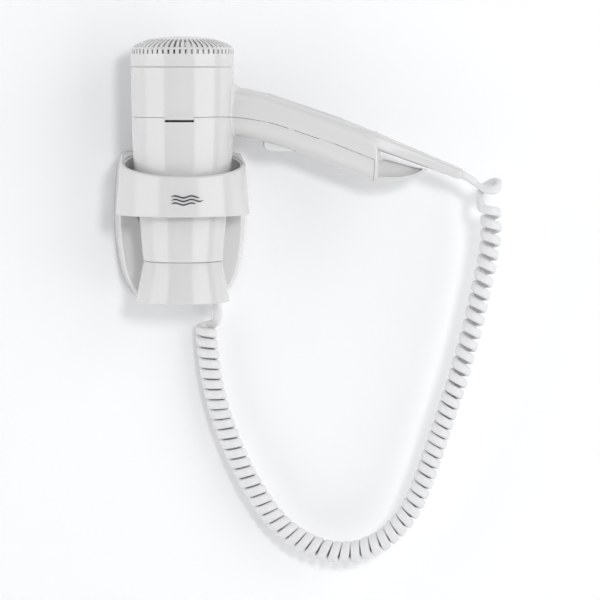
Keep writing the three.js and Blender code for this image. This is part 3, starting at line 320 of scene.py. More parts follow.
def flat_cable(name, line, across):
    """A cable of two cores side by side: at each point of its line, the way that its width runs."""
    sides = CABLE_SIDES
    ring = []
    for k in range(sides):
        cosine, sine = math.cos(2 * math.pi * k / sides), math.sin(2 * math.pi * k / sides)
        wide = math.copysign(abs(cosine) ** CABLE_SQUARENESS, cosine) * CORD_WIDTH / 2
        waist = 1 - 0.1 * math.exp(-wide * wide)
        thick = math.copysign(abs(sine) ** CABLE_SQUARENESS, sine) * CORD_THICKNESS / 2 * waist
        ring.append((wide, thick))
    corners, faces = [], []
    for i, point in enumerate(line):
        along = (line[min(i + 1, len(line) - 1)] - line[max(i - 1, 0)]).normalized()
        width = (across[i] - along * along.dot(across[i])).normalized()
        depth = along.cross(width)
        corners += [(point + width * wide + depth * thick) * MM for wide, thick in ring]
        if i:
            row = (i - 1) * sides
            faces += [
                (row + k, row + (k + 1) % sides, row + sides + (k + 1) % sides, row + sides + k)
                for k in range(sides)
            ]
    faces += [tuple(reversed(range(sides))), tuple(range(len(corners) - sides, len(corners)))]
    shape = bpy.data.meshes.new(name)
    shape.from_pydata(corners, [], faces)
    shape.polygons.foreach_set("use_smooth", [True] * len(faces))
    cable = bpy.data.objects.new(name, shape)
    bpy.context.scene.collection.objects.link(cable)
    return cable


helix, widths = curly_line()
last_front = max(i for i in range(STEPS_A_TURN, len(helix) - 2 * STEPS_A_TURN // 3)
                 if helix[i].y < helix[i - 1].y and helix[i].y < helix[i + 1].y)
helix, widths = helix[LEAD_SKIPPED:last_front + 1], widths[LEAD_SKIPPED:last_front + 1]
lead_in = hermite(
    GLAND_MOUTH, Vector((0, 0, -LEAD_DROP)),
    helix[0], LEAD_PULL * (helix[1] - helix[0]).normalized(), LEAD_STEPS)
open_turn = smooth_line([
    helix[-1],
    helix[-1] + Vector((-6.6, 3.6, 2.4)),
    Vector((234.6, -50.8, 24.6)),
    Vector((239.6, -48.2, 29.6)),
    Vector((245.6, -50.4, 32.8)),
    Vector((248.2, -56.2, 31.2)),
    Vector((244.4, -61.2, 27.6)),
    Vector((237.6, -60.2, 27.9)),
    Vector((233, -57.6, 30.2)),
    RELIEF_MOUTH,
], 1.4)[1:]
line = [GLAND_MOUTH, *lead_in, *helix, *open_turn]
across = [Vector((1, 0, 0)).lerp(widths[0], smoothstep(0.25, 1, (k + 1) / (len(lead_in) + 1)))
          for k in range(-1, len(lead_in))]
across += widths
upright, level = Vector((0.1, 0, 1)), Vector((0, 1, 0))
across += [upright.lerp(level, smoothstep(0.62, 1, k / len(open_turn))) for k in range(len(open_turn))]
curly_cord = flat_cable("curly_cord", line, across)
satin_cord = moulded("satin_cord", (0.77, 0.77, 0.765), 0.3, shade=0.97, grain=0.0005, depth=0.000004)
satin_cord.wear(curly_cord)
[point * MM for point in line]
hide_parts("cord_coil", "cord_lead_holder", "cord_lead_dryer")
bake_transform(curly_cord)

# ---- Wall holder ----
# One moulding in white ABS: a drafted housing with a rounded front edge, a collar that rings the
# barrel, and a flared skirt under the nozzle. It hangs on the wall plate; a screw below locks it.
gloss_white = moulded("gloss_white", (0.69, 0.686, 0.677), 0.15, shade=0.975, IOR=1.72)
AXIS_Y = -56
HOLDER_TOP, HOLDER_BOTTOM = 56, -59
HOLDER_HALF_WIDTH, HOLDER_DEPTH = 51.7, 25
HOLDER_DRAFT = 3
HOLDER_EDGE = 2.4
SHIELD_OUTLINE = (
    (0.66, 0), (0.7, 0.014), (0.79, 0.073), (0.87, 0.139), (0.92, 0.22), (0.956, 0.313), (0.98, 0.39),
    (0.996, 0.47), (1, 0.583), (0.99, 0.739), (0.955, 0.896), (0.93, 0.952), (0.88, 0.987), (0.8, 1))
HOLDER_WALL = 2.2
COLLAR_BOTTOM, COLLAR_FOOT_RADIUS, COLLAR_LIP_RADIUS, COLLAR_ROOT = 9, 52.2, 49.02, 47.3
LIP_FRONT, LIP_BACK, LIP_RUN, LIP_EDGE = 39.6, HOLDER_TOP - 0.6, 79.6, 1.6
LIP_SLOPE = (LIP_BACK - LIP_FRONT) / LIP_RUN
WELL_RADIUS, WELL_FOOT_RADIUS = 44.9, 48.2
SEAT_RADIUS, SEAT_HEIGHT, SKIRT_MOUTH = 28, -27.3, 33.9
CORD_HOLE, LOCK_HOLE = (28.8, -13, 4.9), (-26.9, -8, 1.8)


def skinned(name, rows):
    """A grid bent into a closed body: each row is one ring of its wall, in millimetres."""
    deselect()
    columns = len(rows[0])
    bpy.ops.mesh.primitive_grid_add(x_subdivisions=columns, y_subdivisions=len(rows) - 1, size=1)
    piece = bpy.context.object
    piece.name = piece.data.name = name
    for j, row in enumerate(rows):
        for i in range(columns + 1):
            piece.data.vertices[j * (columns + 1) + i].co = Vector(row[i % columns]) * MM
    bpy.ops.object.mode_set(mode="EDIT")
    bpy.ops.mesh.select_all(action="SELECT")
    bpy.ops.mesh.remove_doubles(threshold=1e-6)
    bpy.ops.mesh.fill_holes(sides=0)
    bpy.ops.mesh.select_all(action="SELECT")
    bpy.ops.mesh.normals_make_consistent(inside=False)
    bpy.ops.object.mode_set(mode="OBJECT")
    return piece


def carve(piece, tool, operation="DIFFERENCE"):
    """Cut a tool body out of a piece, or join it on; the tool is used up."""
    deselect()
    piece.select_set(True)
    bpy.context.view_layer.objects.active = piece
    change = piece.modifiers.new("carve", "BOOLEAN")
    change.operation = operation
    change.solver = "EXACT"
    change.object = tool
    bpy.ops.object.modifier_apply(modifier=change.name)
    bpy.data.objects.remove(tool)


def smooth(piece, angle=32):
    """Merge the slivers that cuts leave, and shade smooth up to that angle."""
    deselect()
    piece.select_set(True)
    bpy.context.view_layer.objects.active = piece
    bpy.ops.object.mode_set(mode="EDIT")
    bpy.ops.mesh.select_all(action="SELECT")
    bpy.ops.mesh.remove_doubles(threshold=4e-6)
    bpy.ops.mesh.dissolve_degenerate(threshold=2e-6)
    bpy.ops.object.mode_set(mode="OBJECT")
    bpy.ops.object.shade_smooth_by_angle(angle=math.radians(angle))


def rounded(steps, radius):
    """Steps round a quarter of an edge: how far in from the side, how far below the face."""
    turns = [math.pi / 2 * k / steps for k in range(steps + 1)]
    return [(radius * (1 - math.cos(turn)), radius * (1 - math.sin(turn))) for turn in turns]


def turned(profile, sides=128):
    """Rings round the barrel's axis, one for each radius and height."""
    return [[(r * math.cos(2 * math.pi * k / sides), AXIS_Y + r * math.sin(2 * math.pi * k / sides), z)
             for k in range(sides)] for r, z in profile]


half_shield = smooth_line([
    Vector((share * HOLDER_HALF_WIDTH, 0, HOLDER_BOTTOM + rise * (HOLDER_TOP - HOLDER_BOTTOM)))
    for share, rise in SHIELD_OUTLINE], 2)
shield = half_shield + [Vector((-point.x, 0, point.z)) for point in reversed(half_shield)]


def shield_row(y, draft, inward=0.0):
    """The housing's outline at that depth, drawn in by its draft and by the rounding of its edge."""
    height = HOLDER_TOP - HOLDER_BOTTOM
    low = HOLDER_BOTTOM + inward
    high = HOLDER_TOP - 0.2 * draft - inward
    narrowing = 1 - (draft + inward) / HOLDER_HALF_WIDTH
    return [
        (point.x * narrowing, y, low + (point.z - HOLDER_BOTTOM) / height * (high - low))
        for point in shield]


def lip_height(y):
    return min(LIP_BACK + (y + HOLDER_DEPTH) * LIP_SLOPE, LIP_BACK)


def collar_row(radius, inward, z):
    """Half round in front, straight back into the housing. Without a height it lies in the lip."""
    turns = [math.pi * (1 + k / 72) for k in range(73)]
    places = [(radius - inward) * Vector((math.cos(turn), math.sin(turn))) for turn in turns]
    places = [Vector((place.x, place.y + AXIS_Y)) for place in places]
    root = COLLAR_ROOT - inward
    right, right_root = Vector((radius - inward, AXIS_Y)), Vector((root, 1 - HOLDER_DEPTH))
    left, left_root = Vector((inward - radius, AXIS_Y)), Vector((-root, 1 - HOLDER_DEPTH))
    places += [right.lerp(right_root, k / 8) for k in range(1, 9)]
    places += [left_root.lerp(left, k / 8) for k in range(8)]
    row = []
    for place in places:
        height = z if z is not None else LIP_BACK + (place.y + HOLDER_DEPTH) * LIP_SLOPE
        row.append(Vector((place.x, place.y, height)))
    return row


drafted = HOLDER_DRAFT * (HOLDER_DEPTH - HOLDER_EDGE) / HOLDER_DEPTH
holder_housing = skinned("holder_housing", [
    shield_row(-0.3, 0),
    shield_row(-8, drafted * 0.35),
    shield_row(-16, drafted * 0.7),
    *[shield_row(-HOLDER_DEPTH + down, drafted, inward) for inward, down in rounded(7, HOLDER_EDGE)],
])
carve(holder_housing, skinned("skirt", turned([
    (35.9, -59), (36.5, -58.4), (30.9, -28.5), (30.2, -27.4), (29.6, -27.3)])), "UNION")
collar_foot = [
    collar_row(COLLAR_FOOT_RADIUS, inward, COLLAR_BOTTOM + down) for inward, down in reversed(rounded(4, 1))]
collar_lip = []
for inward, down in rounded(6, LIP_EDGE):
    row = collar_row(COLLAR_LIP_RADIUS, inward, None)
    collar_lip.append([point - Vector((0, 0, down)) for point in row])
carve(holder_housing, skinned("collar", [*collar_foot, *collar_lip]), "UNION")


def well_rows(grow, lip):
    """The space inside collar and skirt, wider by a wall. With a lip its mouth has a rounded edge."""
    rows = turned([
        (SKIRT_MOUTH + grow, HOLDER_BOTTOM - 5), (SKIRT_MOUTH + grow, HOLDER_BOTTOM),
        (SEAT_RADIUS + grow, SEAT_HEIGHT + grow), (SEAT_RADIUS + 7 + grow, SEAT_HEIGHT + grow),
        (WELL_FOOT_RADIUS + grow, COLLAR_BOTTOM)])
    for outward, down in (reversed(rounded(6, LIP_EDGE)) if lip else [(0, 0)]):
        flare = LIP_EDGE - outward if lip else 0
        sunk = LIP_EDGE - down if lip else 0
        ring = turned([(WELL_RADIUS + grow + flare, 0)])[0]
        rows.append([(x, y, lip_height(y) - sunk) for x, y, z in ring])
    return rows + turned([(WELL_RADIUS + grow + (LIP_EDGE if lip else 0), HOLDER_TOP + 34)])


well = skinned("well", well_rows(0, True))
carve(holder_housing, well)
hollow = skinned("hollow", [
    shield_row(1, 0, HOLDER_WALL),
    shield_row(-HOLDER_DEPTH + 5, drafted, HOLDER_WALL),
    shield_row(-HOLDER_DEPTH + HOLDER_WALL, drafted, HOLDER_WALL + HOLDER_EDGE),
])
carve(hollow, skinned("well_wall", well_rows(HOLDER_WALL, False)))
carve(holder_housing, hollow)
for x, y, radius in (CORD_HOLE, LOCK_HOLE):
    turns = [k * math.pi / 16 for k in range(32)]
    carve(holder_housing, skinned("hole", [
        [(x + radius * math.cos(turn), y + radius * math.sin(turn), z) for turn in turns]
        for z in (HOLDER_BOTTOM - 2, HOLDER_BOTTOM + 8)]))
smooth(holder_housing)
gloss_white.wear(holder_housing)
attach(holder_housing, "holder")
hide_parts("holder_body")

# ---- Airflow sign on the collar ----
# Three printed waves in dark grey ink, a generic sign for moving air. The ink is drawn as a thin
# raised layer that follows the collar's taper.
SIGN_MIDDLE_X, SIGN_MIDDLE_Z = 1.4, 22
SIGN_LENGTH, SIGN_STEP, WAVE_HEIGHT, INK_WIDTH = 25, 2.7, 0.75, 1.05
INK_ROOT, INK_EDGE, INK_CROWN = -0.25, 0.12, 0.16
COLLAR_TAPER, COLLAR_HEIGHT = 3.6, 47


def wave_line(rise, start, end):
    rows = []
    for k in range(41):
        s = start + (end - start) * k / 40
        z = SIGN_MIDDLE_Z + rise + WAVE_HEIGHT * math.sin(s / SIGN_LENGTH * 4 * math.pi)
        radius = COLLAR_FOOT_RADIUS - COLLAR_TAPER * (z - COLLAR_BOTTOM) / COLLAR_HEIGHT
        angle = -math.pi / 2 + (SIGN_MIDDLE_X + s) / radius
        half = INK_WIDTH / 2 * min(1, 0.25 + 6 * min(k, 40 - k) / 40)
        ink = ((INK_ROOT, -1), (INK_EDGE, -1), (INK_CROWN, 0), (INK_EDGE, 1), (INK_ROOT, 1))
        rows.append([
            ((radius + out) * math.cos(angle), AXIS_Y + (radius + out) * math.sin(angle), z + side * half)
            for out, side in ink])
    return rows


airflow_sign = skinned("airflow_sign", wave_line(SIGN_STEP, -12.5, 9.5))
for rise, start, end in ((0, -12.5, 12.5), (-SIGN_STEP, -12.5, 6.5)):
    carve(airflow_sign, skinned("wave", wave_line(rise, start, end)), "UNION")
smooth(airflow_sign, 40)
ink = moulded("grey_ink", (0.045, 0.047, 0.052), 0.45, shade=0.8, grain=0.0003, depth=0.000004)
ink.wear(airflow_sign)
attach(airflow_sign, "holder")

# ---- Shells of the dryer ----
# Two ABS mouldings, screwed together from below. The rear one carries the arm, the end wall and the
# hook; the front one carries the nozzle. Their seam runs level round the barrel, then droops.
BARREL = ((-27, 31), (9.1, 34.24), (42.3, 37.48), (60.3, 38.92), (84.4, 39.55), (123.6, 40))
HANDLE = (
    (20, 109.6, 70.9, 14.8), (41, 108, 69.4, 16.2), (64.8, 103.2, 64.4, 15.9), (96, 92.9, 54.8, 15.2),
    (126.6, 82.2, 42.9, 14.5), (148.4, 73.8, 34.6, 14.5), (170, 65.4, 26.2, 14.5))
ARM = ((-30, 9, 7), (0, 13, 12.4), (8, 12.6, 11.4), (16, 12, 9.9), (26, 11.3, 8.7), (34, 10.9, 8.1),
       (50, 10, 7.6), (75, 8.6, 7.2), (90, 7.8, 6.8))
SEAM = ((-90, 84.8), (0, 84.8), (36, 84.8), (64.6, 80.8), (87, 74), (102, 68.8), (117, 64), (148.4, 51.4))
SHELL_WALL, ARM_WALL, SEAM_GAP = 2.2, 1.2, 0.34
BARREL_RADIUS, BARREL_FOOT, CAP_SEAM = 40, -27, 123.6
HANDLE_END, END_WALL, ARM_END = 148.4, 2.9, 75
ARM_DROOP = math.radians(21.4)
arm_frame = Matrix.Translation((HANDLE_END, AXIS_Y, 66.8)) @ Matrix.Rotation(ARM_DROOP, 4, "Y")


def read(table, x, column=1):
    """A smooth value between the rows of a table."""
    i = max(k for k in range(len(table) - 1) if table[k][0] <= x or k == 0)
    slopes = [
        (table[min(k + 1, len(table) - 1)][column] - table[max(k - 1, 0)][column])
        / (table[min(k + 1, len(table) - 1)][0] - table[max(k - 1, 0)][0])
        for k in (i, i + 1)]
    span = table[i + 1][0] - table[i][0]
    t = min(1, max(0, (x - table[i][0]) / span))
    return ((2 * t ** 3 - 3 * t * t + 1) * table[i][column] + (t ** 3 - 2 * t * t + t) * span * slopes[0]
            + (3 * t * t - 2 * t ** 3) * table[i + 1][column] + (t ** 3 - t * t) * span * slopes[1])


def section(count, below=0.8):
    """Shares across and up, round an oval with squared shoulders; its lower half may be squarer."""
    places = []
    for k in range(count):
        angle = 2 * math.pi * k / count
        squareness = 0.8 if angle < math.pi else below
        places.append((math.copysign(abs(math.cos(angle)) ** squareness, math.cos(angle)),
                       math.copysign(abs(math.sin(angle)) ** squareness, math.sin(angle))))
    return places


def barrel_rows(inset, low, high, edge):
    """Rings up the barrel and nozzle, with a rounded foot where an edge is given."""
    heights = [low + (high - low) * k / 36 for k in range(37)]
    profile = [(read(BARREL, z) - inset, z) for z in heights]
    if edge:
        foot = profile[0][0] - edge
        steps = ((0, 0), (edge * 0.7, edge * 0.3), (edge, edge))
        profile[0:1] = [(foot + out, low + up) for out, up in steps]
        profile[-1:] = [(BARREL_RADIUS - inset, high - 0.4), (BARREL_RADIUS - 0.4 - inset, high)]
    return turned(profile, 160)


def handle_row(x, inset, inward=0.0):
    """A ring round the handle. Near the barrel it lies on the barrel and flares into it."""
    far = x - BARREL_RADIUS
    top, bottom = read(HANDLE, x, 1) - inset - inward, read(HANDLE, x, 2) + inset + inward
    half = read(HANDLE, x, 3) - inset - inward
    row = []
    for across, up in section(64):
        fillet = 1.2 + 4.2 * max(0, up) ** 2
        below_edge = max(0, fillet - max(far, 0))
        flare = fillet - math.sqrt(max(0, fillet ** 2 - below_edge ** 2)) if inset == 0 else 0
        y = (half + flare) * across
        z = (top + bottom) / 2 + ((top - bottom) / 2 + flare) * up
        round_x = math.sqrt(max(1, (BARREL_RADIUS + far) ** 2 - y * y))
        row.append((round_x + (x - round_x) * smoothstep(0, 26, far), AXIS_Y + y, z))
    return row


def handle_rows(inset, end, edge):
    places = [36, 39, 40, 40.3, 40.8, 41.5, 42.4, 43.5, 45, 47, 50, 54, 58, 62]
    places += [66 + (end - edge - 66) * k / 22 for k in range(23)]
    rows = [handle_row(x, inset) for x in places]
    end_edge = rounded(5, edge)[1:] if edge else []
    return rows + [handle_row(end - down, inset, inward) for inward, down in end_edge]


def arm_rows(inset, start, end, edge):
    stations = [(start + (end - edge - start) * k / 26, 0) for k in range(27)]
    stations += [(end - down, inward) for inward, down in (rounded(4, edge)[1:] if edge else [])]
    return [[arm_frame @ Vector((along, (read(ARM, along, 2) - inset - inward) * across,
                                 (read(ARM, along, 1) / 2 - inset - inward) * up))
             for across, up in section(64, 0.4)] for along, inward in stations]


def slab(name, outline, near, far):
    """A flat outline in X and Z, drawn out along Y."""
    deselect()
    bpy.ops.mesh.primitive_circle_add(vertices=len(outline), fill_type="NGON")
    piece = bpy.context.object
    piece.name = piece.data.name = name
    for vertex, (x, z) in zip(piece.data.vertices, outline):
        vertex.co = Vector((x, near, z)) * MM
    bpy.ops.object.mode_set(mode="EDIT")
    bpy.ops.mesh.select_all(action="SELECT")
    bpy.ops.mesh.extrude_region_move(TRANSFORM_OT_translate={"value": (0, (far - near) * MM, 0)})
    bpy.ops.mesh.select_all(action="SELECT")
    bpy.ops.mesh.normals_make_consistent(inside=False)
    bpy.ops.object.mode_set(mode="OBJECT")
    return piece


def copied(piece, name):
    twin = piece.copy()
    twin.data = piece.data.copy()
    twin.name = twin.data.name = name
    bpy.context.scene.collection.objects.link(twin)
    return twin


def seam_line(offset):
    places = [-90 + k * 6 for k in range(21)] + [36 + k * (HANDLE_END - 36) / 30 for k in range(1, 31)]
    return [(x, read(SEAM, x) + offset) for x in places]


rear_casing = skinned("rear_casing", barrel_rows(0, BARREL_FOOT, CAP_SEAM - 0.3, 0.6))
carve(rear_casing, skinned("handle", handle_rows(0, HANDLE_END + END_WALL, 1.6)), "UNION")
carve(rear_casing, skinned("arm", arm_rows(0, -14, ARM_END, 1.2)), "UNION")
carve(rear_casing, skinned("barrel_inside", barrel_rows(SHELL_WALL, BARREL_FOOT - 2, CAP_SEAM + 2, 0)))
carve(rear_casing, skinned("handle_inside", handle_rows(SHELL_WALL, HANDLE_END + 0.3, 0)))
carve(rear_casing, skinned("arm_inside", arm_rows(ARM_WALL, -16, ARM_END + 2, 0)))
front_casing = copied(rear_casing, "front_casing")

# The two cutting bodies follow the seam and reach well past the shells on every other side.
LEFT, RIGHT, BELOW, ABOVE, IN_FRONT, BEHIND = -90, 300, -60, 200, -140, 30
SEAM_END, SEAM_END_FRONT, END_PLAY = 51.4, 51.0, 0.15
carve(rear_casing, slab("below", [
    *seam_line(SEAM_GAP / 2), (HANDLE_END + END_PLAY, SEAM_END), (HANDLE_END + END_PLAY, BELOW),
    (LEFT, BELOW)], IN_FRONT, BEHIND))
carve(front_casing, slab("above", [
    *seam_line(-SEAM_GAP / 2), (HANDLE_END - END_PLAY, SEAM_END_FRONT), (HANDLE_END - END_PLAY, BELOW),
    (RIGHT, BELOW), (RIGHT, ABOVE), (LEFT, ABOVE)], IN_FRONT, BEHIND))

# The catch in front: a lip of the rear shell hangs over a slot through the front one.
CATCH_START, CATCH_SPAN, CATCH_PLAY = -113.0, 33.5, 0.4


def arched(name, inner, outer, low, high, play=0.0):
    start, span = CATCH_START + play, CATCH_SPAN - 2 * play
    turns = [math.radians(start + k * span / 20) for k in range(21)]
    ring = [(outer, turn) for turn in turns] + [(inner, turn) for turn in reversed(turns)]
    return skinned(name, [
        [(radius * math.cos(turn), AXIS_Y + radius * math.sin(turn), z) for radius, turn in ring]
        for z in (low, high)])


carve(front_casing, arched("slot", 36, 43, 81.3, 85))
carve(rear_casing, arched("lip", 37.8, 40.1, 83.0, 86, CATCH_PLAY), "UNION")

# The opening of the press bar, a long pill, and that of the level control.
BAR_LENGTH, BAR_WIDTH, BAR_PLAY = 63.4, 11, 0.7
BAR_TILT = math.radians(18.77)
bar_frame = Matrix.Translation((96, AXIS_Y, 93.1)) @ Matrix.Rotation(BAR_TILT, 4, "Y")


def pill_row(length, width, z):
    reach = (length - width) / 2
    turns = [math.pi * (k / 16 - 0.5) for k in range(17)]
    right = [(reach + width / 2 * math.cos(a), width / 2 * math.sin(a)) for a in turns]
    left = [(-x, -y) for x, y in right]
    return [bar_frame @ Vector((x, y, z)) for x, y in right + left]


carve(rear_casing, skinned("bar_opening", [
    pill_row(BAR_LENGTH + BAR_PLAY, BAR_WIDTH + BAR_PLAY, z) for z in (-8, 8)]))
LEVER_PIVOT = (88, 60.46)
LEVER_WIDTH, LEVER_REACH, LEVER_PLAY = 12, 25, 0.4


def under(x):
    return read(HANDLE, x, 2)


def lever_outline(grow, raised=0.0):
    """Round the level control, from the top of its tip. An opening for it grows, and is drawn up."""
    pivot_x, pivot_z = LEVER_PIVOT
    tip = pivot_x - LEVER_REACH
    return [
        (tip - 2.5 * grow, under(tip) + 2.6 + grow + raised),
        (tip - 2.5 * grow, under(tip) - 3.6 - grow * 0.6),
        (tip + 1.2 - grow, under(tip) - 4.9 - grow),
        (tip + 3.2 - grow * 0.5, under(tip + 3) - 5.7 - grow),
        (tip + 10, under(tip + 10) - 4.4 - grow),
        (tip + 16, under(tip + 16) - 2.4 - grow),
        (pivot_x - 3, under(pivot_x - 3) - 0.4 - grow),
        (pivot_x + 2.4 + grow, pivot_z - 1 - grow),
        (pivot_x + 2.4 + grow, pivot_z + 2.2 + grow + raised),
        (pivot_x - 3, pivot_z + 2.2 + grow + raised)]


half_opening = LEVER_WIDTH / 2 + LEVER_PLAY
carve(front_casing, slab(
    "lever_opening", lever_outline(LEVER_PLAY, 5), AXIS_Y - half_opening, AXIS_Y + half_opening))

# The hook: a web with a thick rim below, open at its tip, and dished on both sides.
HOOK_HALF, HOOK_REACH, WEB_HALF = 7, 40.5, 1.4


def under_arm(x):
    along = (x - HANDLE_END) / math.cos(ARM_DROOP)
    middle = arm_frame @ Vector((along, 0, 0))
    return middle.z - read(ARM, along, 1) / 2 / math.cos(ARM_DROOP)


def bowed(start, bend, end, count):
    """Points on a bow from the start, drawn towards its bend; the start itself is left out."""
    return [tuple(Vector(start) * (1 - t) ** 2 + Vector(bend) * 2 * t * (1 - t) + Vector(end) * t * t)
            for t in [k / count for k in range(1, count + 1)]]


start = HANDLE_END + 2.5
tip = (start + HOOK_REACH, under_arm(start + HOOK_REACH) - 0.8)
outline = [(start, 34.7), (start + 9, 34.4), *bowed((start + 14.5, 34.5), (start + 30, 35.4), tip, 14)]
outline += [(start + reach, under_arm(start + reach) - gap)
            for reach, gap in ((37, 1.1), (31.6, 1.7), (26, 2.2), (18, 2.9), (11, 3.4), (6, 3.8), (4.3, 4.0))]
outline += [(start + 3.2, under_arm(start + 3.2) - 3.4), (start + 2.6, under_arm(start + 2.6) - 2.2),
            (start + 2.8, under_arm(start + 2.8) - 0.6), (start + 3, under_arm(start + 3) + 2), (start, 58)]
hook = slab("hook", outline, AXIS_Y - HOOK_HALF, AXIS_Y + HOOK_HALF)
dish = [(start + 1.6, 37.9), *bowed((start + 14, 37.3), (start + 28, 38.2), (tip[0] - 5, tip[1] - 0.9), 14),
        (tip[0] - 4.2, tip[1] + 0.4)]
dish += [(start + reach, under_arm(start + reach) - gap)
         for reach, gap in ((31.6, 2.9), (18, 4.1), (11, 4.6), (5.5, 5.2))]
dish += [(start + 1.6, 50)]
for near, far in ((-HOOK_HALF - 2, -WEB_HALF), (WEB_HALF, HOOK_HALF + 2)):
    carve(hook, slab("dish", dish, AXIS_Y + near, AXIS_Y + far))
carve(rear_casing, hook, "UNION")
for casing, node in ((rear_casing, "rear_shell"), (front_casing, "front_shell")):
    smooth(casing)
    gloss_white.wear(casing)
    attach(casing, "dryer")
    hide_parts(node)

# ---- Press bar and level control ----
# Satin mouldings: the bar lies flush in the top of the handle on two springs, and the level control
# tilts about a pin below it.
BAR_EDGE, LEVER_EDGE, PIN_HOLE_RADIUS = 0.9, 0.9, 1.35
press_strip = skinned("press_strip", [
    pill_row(BAR_LENGTH, BAR_WIDTH, -4.6), pill_row(BAR_LENGTH, BAR_WIDTH, -2),
    *[pill_row(BAR_LENGTH - 2 * inward, BAR_WIDTH - 2 * inward, -down)
      for inward, down in rounded(5, BAR_EDGE)],
    pill_row(BAR_LENGTH - 6, BAR_WIDTH - 6, 0.12)])
level_control = slab("level_control", lever_outline(0), AXIS_Y - LEVER_WIDTH / 2, AXIS_Y + LEVER_WIDTH / 2)
deselect()
level_control.select_set(True)
bpy.context.view_layer.objects.active = level_control
edge = level_control.modifiers.new("edge", "BEVEL")
edge.width = LEVER_EDGE * MM
edge.segments = 4
edge.limit_method = "ANGLE"
edge.angle_limit = math.radians(35)
bpy.ops.object.modifier_apply(modifier=edge.name)
pin_ring = [
    (LEVER_PIVOT[0] + PIN_HOLE_RADIUS * math.cos(k * math.pi / 12),
     LEVER_PIVOT[1] + PIN_HOLE_RADIUS * math.sin(k * math.pi / 12)) for k in range(24)]
carve(level_control, skinned("pin_hole", [
    [(x, y, z) for x, z in pin_ring] for y in (AXIS_Y - 10, AXIS_Y + 10)]))
satin_white = moulded("satin_white", (0.66, 0.665, 0.665), 0.42, shade=0.97, grain=0.0005, depth=0.000006)
lever_white = moulded("lever_white", (0.74, 0.745, 0.74), 0.36, shade=0.97, grain=0.0005, depth=0.000006)
for piece, body, node, finish in ((press_strip, "bar", "press_bar", satin_white),
                                  (level_control, "lever", "level_lever", lever_white)):
    smooth(piece)
    finish.wear(piece)
    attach(piece, body)
    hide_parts(node)

# ---- Air inlet cap ----
# A white ABS cap pressed onto the barrel. Fifty-five radial slots run up its side and over its
# shoulder; a ring at the shoulder ties their webs together.
SLOT_COUNT, SLOT_WIDTH, CAP_WALL = 55, 1.75, 2.0
CAP_PROFILE = [
    (39.5, 123.75), (40, 124.2), (40, 127), (40, 131), (40, 133.6), (40, 135), (40, 136.3), (39.85, 137),
    (39.5, 137.8), (38.95, 138.6), (38.1, 139.4), (36.6, 140.5), (34.5, 141.6), (32, 142.6), (29.5, 143.5),
    (27.2, 144.2), (25.6, 144.65), (22, 145.5), (17, 146.3), (11, 146.8), (5, 146.97), (1.5, 147)]
SLOT_ROWS = (4, 5, 6, *range(9, 16))
cap_rows = []
for radius, z in CAP_PROFILE:
    row = []
    half = min(math.asin(min(1, SLOT_WIDTH / 2 / radius)), 0.33 * 2 * math.pi / SLOT_COUNT)
    for slot in range(SLOT_COUNT):
        middle = (slot + 0.5) * 2 * math.pi / SLOT_COUNT
        web = 2 * math.pi / SLOT_COUNT - 2 * half
        for turn in (-half, half, half + web * 0.3, half + web * 0.7):
            row.append((radius * math.cos(middle + turn), AXIS_Y + radius * math.sin(middle + turn), z))
    cap_rows.append(row)
slotted_cap = skinned("slotted_cap", cap_rows)
deselect()
slotted_cap.select_set(True)
bpy.context.view_layer.objects.active = slotted_cap
bpy.ops.object.mode_set(mode="EDIT")
bpy.ops.mesh.select_mode(type="FACE")
bpy.ops.mesh.select_all(action="DESELECT")
bpy.ops.object.mode_set(mode="OBJECT")
for polygon in slotted_cap.data.polygons:
    height = polygon.center.z / MM
    turn = math.atan2(polygon.center.y / MM - AXIS_Y, polygon.center.x / MM) / (2 * math.pi) * SLOT_COUNT % 1
    row = next((k for k in range(len(CAP_PROFILE) - 1)
                if CAP_PROFILE[k][1] < height < CAP_PROFILE[k + 1][1]), -1)
    opened = row in SLOT_ROWS and abs(turn - 0.5) < 0.05
    polygon.select = opened or height < CAP_PROFILE[0][1] + 0.01
bpy.ops.object.mode_set(mode="EDIT")
bpy.ops.mesh.delete(type="FACE")
bpy.ops.mesh.select_mode(type="VERT")
bpy.ops.object.mode_set(mode="OBJECT")
wall_of_cap = slotted_cap.modifiers.new("wall", "SOLIDIFY")
wall_of_cap.thickness = CAP_WALL * MM
wall_of_cap.offset = -1
bpy.ops.object.modifier_apply(modifier=wall_of_cap.name)
smooth(slotted_cap, 40)
gloss_white.wear(slotted_cap)
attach(slotted_cap, "dryer")
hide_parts("inlet_cap")

# ---- Pieces inside, and the small fittings ----
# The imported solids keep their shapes. Each gets the finish of its stock: nylon, gauze, black
# plastic, mica, wire, board or zinc-plated steel.
def plated(name, colour, roughness):
    steel = Finish(name, colour, roughness, Metallic=1.0)
    drawn = steel.noise(0.0006, 3.0, stretch=(1, 1, 0.15))
    steel.set("Base Color", steel.tint(drawn, colour, tuple(0.72 * c for c in colour)))
    steel.set("Roughness", steel.noise(0.004, 3.0) * 0.2 + (roughness - 0.1))
    steel.bump(drawn, 0.00001)
    return steel


def gauze():
    nylon = Finish("grey_gauze", (0.2, 0.205, 0.21), 0.55)
    weave = [
        nylon.node("ShaderNodeTexWave", {"bands_direction": way}, {"Vector": nylon.place(), "Scale": 420.0})
        for way in ("X", "Y")]
    threads = Flow(nylon, weave[0].outputs["Fac"]) * Flow(nylon, weave[1].outputs["Fac"])
    nylon.set("Base Color", nylon.tint(threads, (0.06, 0.062, 0.065), (0.42, 0.425, 0.43)))
    nylon.bump(threads, 0.0002)
    return nylon


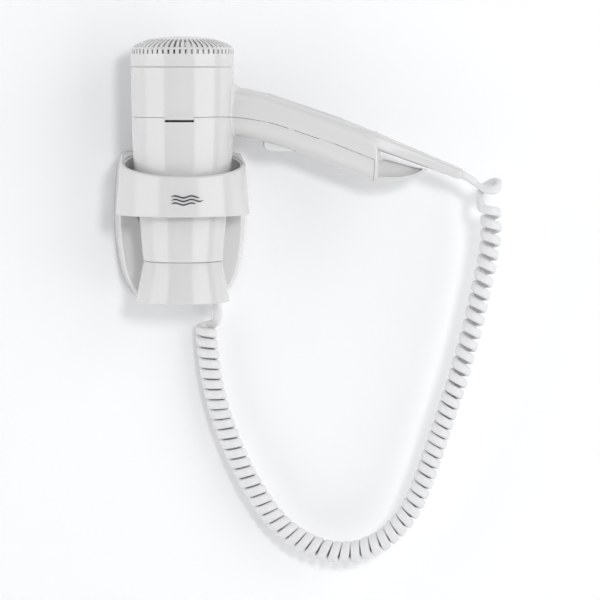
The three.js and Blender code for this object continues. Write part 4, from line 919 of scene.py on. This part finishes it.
def mica():
    sheet = Finish("pressed_mica", (0.62, 0.54, 0.38), 0.35)
    flakes = sheet.noise(0.0035, 6.0, stretch=(1, 1, 0.6))
    sheet.set("Base Color", sheet.tint(flakes, (0.72, 0.64, 0.46), (0.42, 0.34, 0.2)))
    sheet.set("Roughness", flakes * 0.35 + 0.2)
    sheet.bump(flakes, 0.00008)
    return sheet


FITTINGS = (
    (moulded("natural_nylon", (0.72, 0.71, 0.67), 0.42, grain=0.0006, depth=0.00001),
     ("terminal_block", "cord_clamp")),
    (moulded("grey_abs", (0.33, 0.34, 0.35), 0.5, shade=0.9, grain=0.0007, depth=0.00002), ("wall_plate",)),
    (gauze(), ("inlet_filter",)),
    (moulded("black_nylon", (0.03, 0.03, 0.032), 0.45, shade=0.7, grain=0.0006, depth=0.00002),
     ("fan_duct", "fan_impeller", "switch_carrier", "run_switch", "level_switch")),
    (moulded("grille_black", (0.035, 0.035, 0.037), 0.55, shade=0.75, grain=0.0008, depth=0.00002),
     ("outlet_grille",)),
    (satin_cord, ("cord_in_holder", "cord_in_arm")),
    (moulded("soft_pvc", (0.8, 0.8, 0.79), 0.4, shade=0.96, grain=0.0005, depth=0.00001),
     ("cord_gland", "bend_relief")),
    (mica(), ("heater_board_a", "heater_board_b", "mica_sleeve")),
    (plated("oxidised_wire", (0.3, 0.25, 0.21), 0.45), ("heater_coil",)),
    (moulded("solder_mask", (0.03, 0.16, 0.06), 0.25, shade=0.7, grain=0.0015, depth=0.00002),
     ("rectifier_board",)),
    (plated("zinc_plate", (0.55, 0.55, 0.56), 0.32), (
        "wall_screw_upper_left", "wall_screw_upper_right", "wall_screw_lower_left", "wall_screw_lower_right",
        "lock_screw", "terminal_screw_line", "terminal_screw_spare", "terminal_screw_neutral",
        "shell_screw_root", "shell_screw_end", "motor", "motor_shaft", "thermostat", "thermal_fuse",
        "bar_spring_near", "bar_spring_far", "lever_pin", "clamp_screw_left", "clamp_screw_right")),
)
for finish, nodes in FITTINGS:
    finish.wear(*[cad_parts[node] for node in nodes])
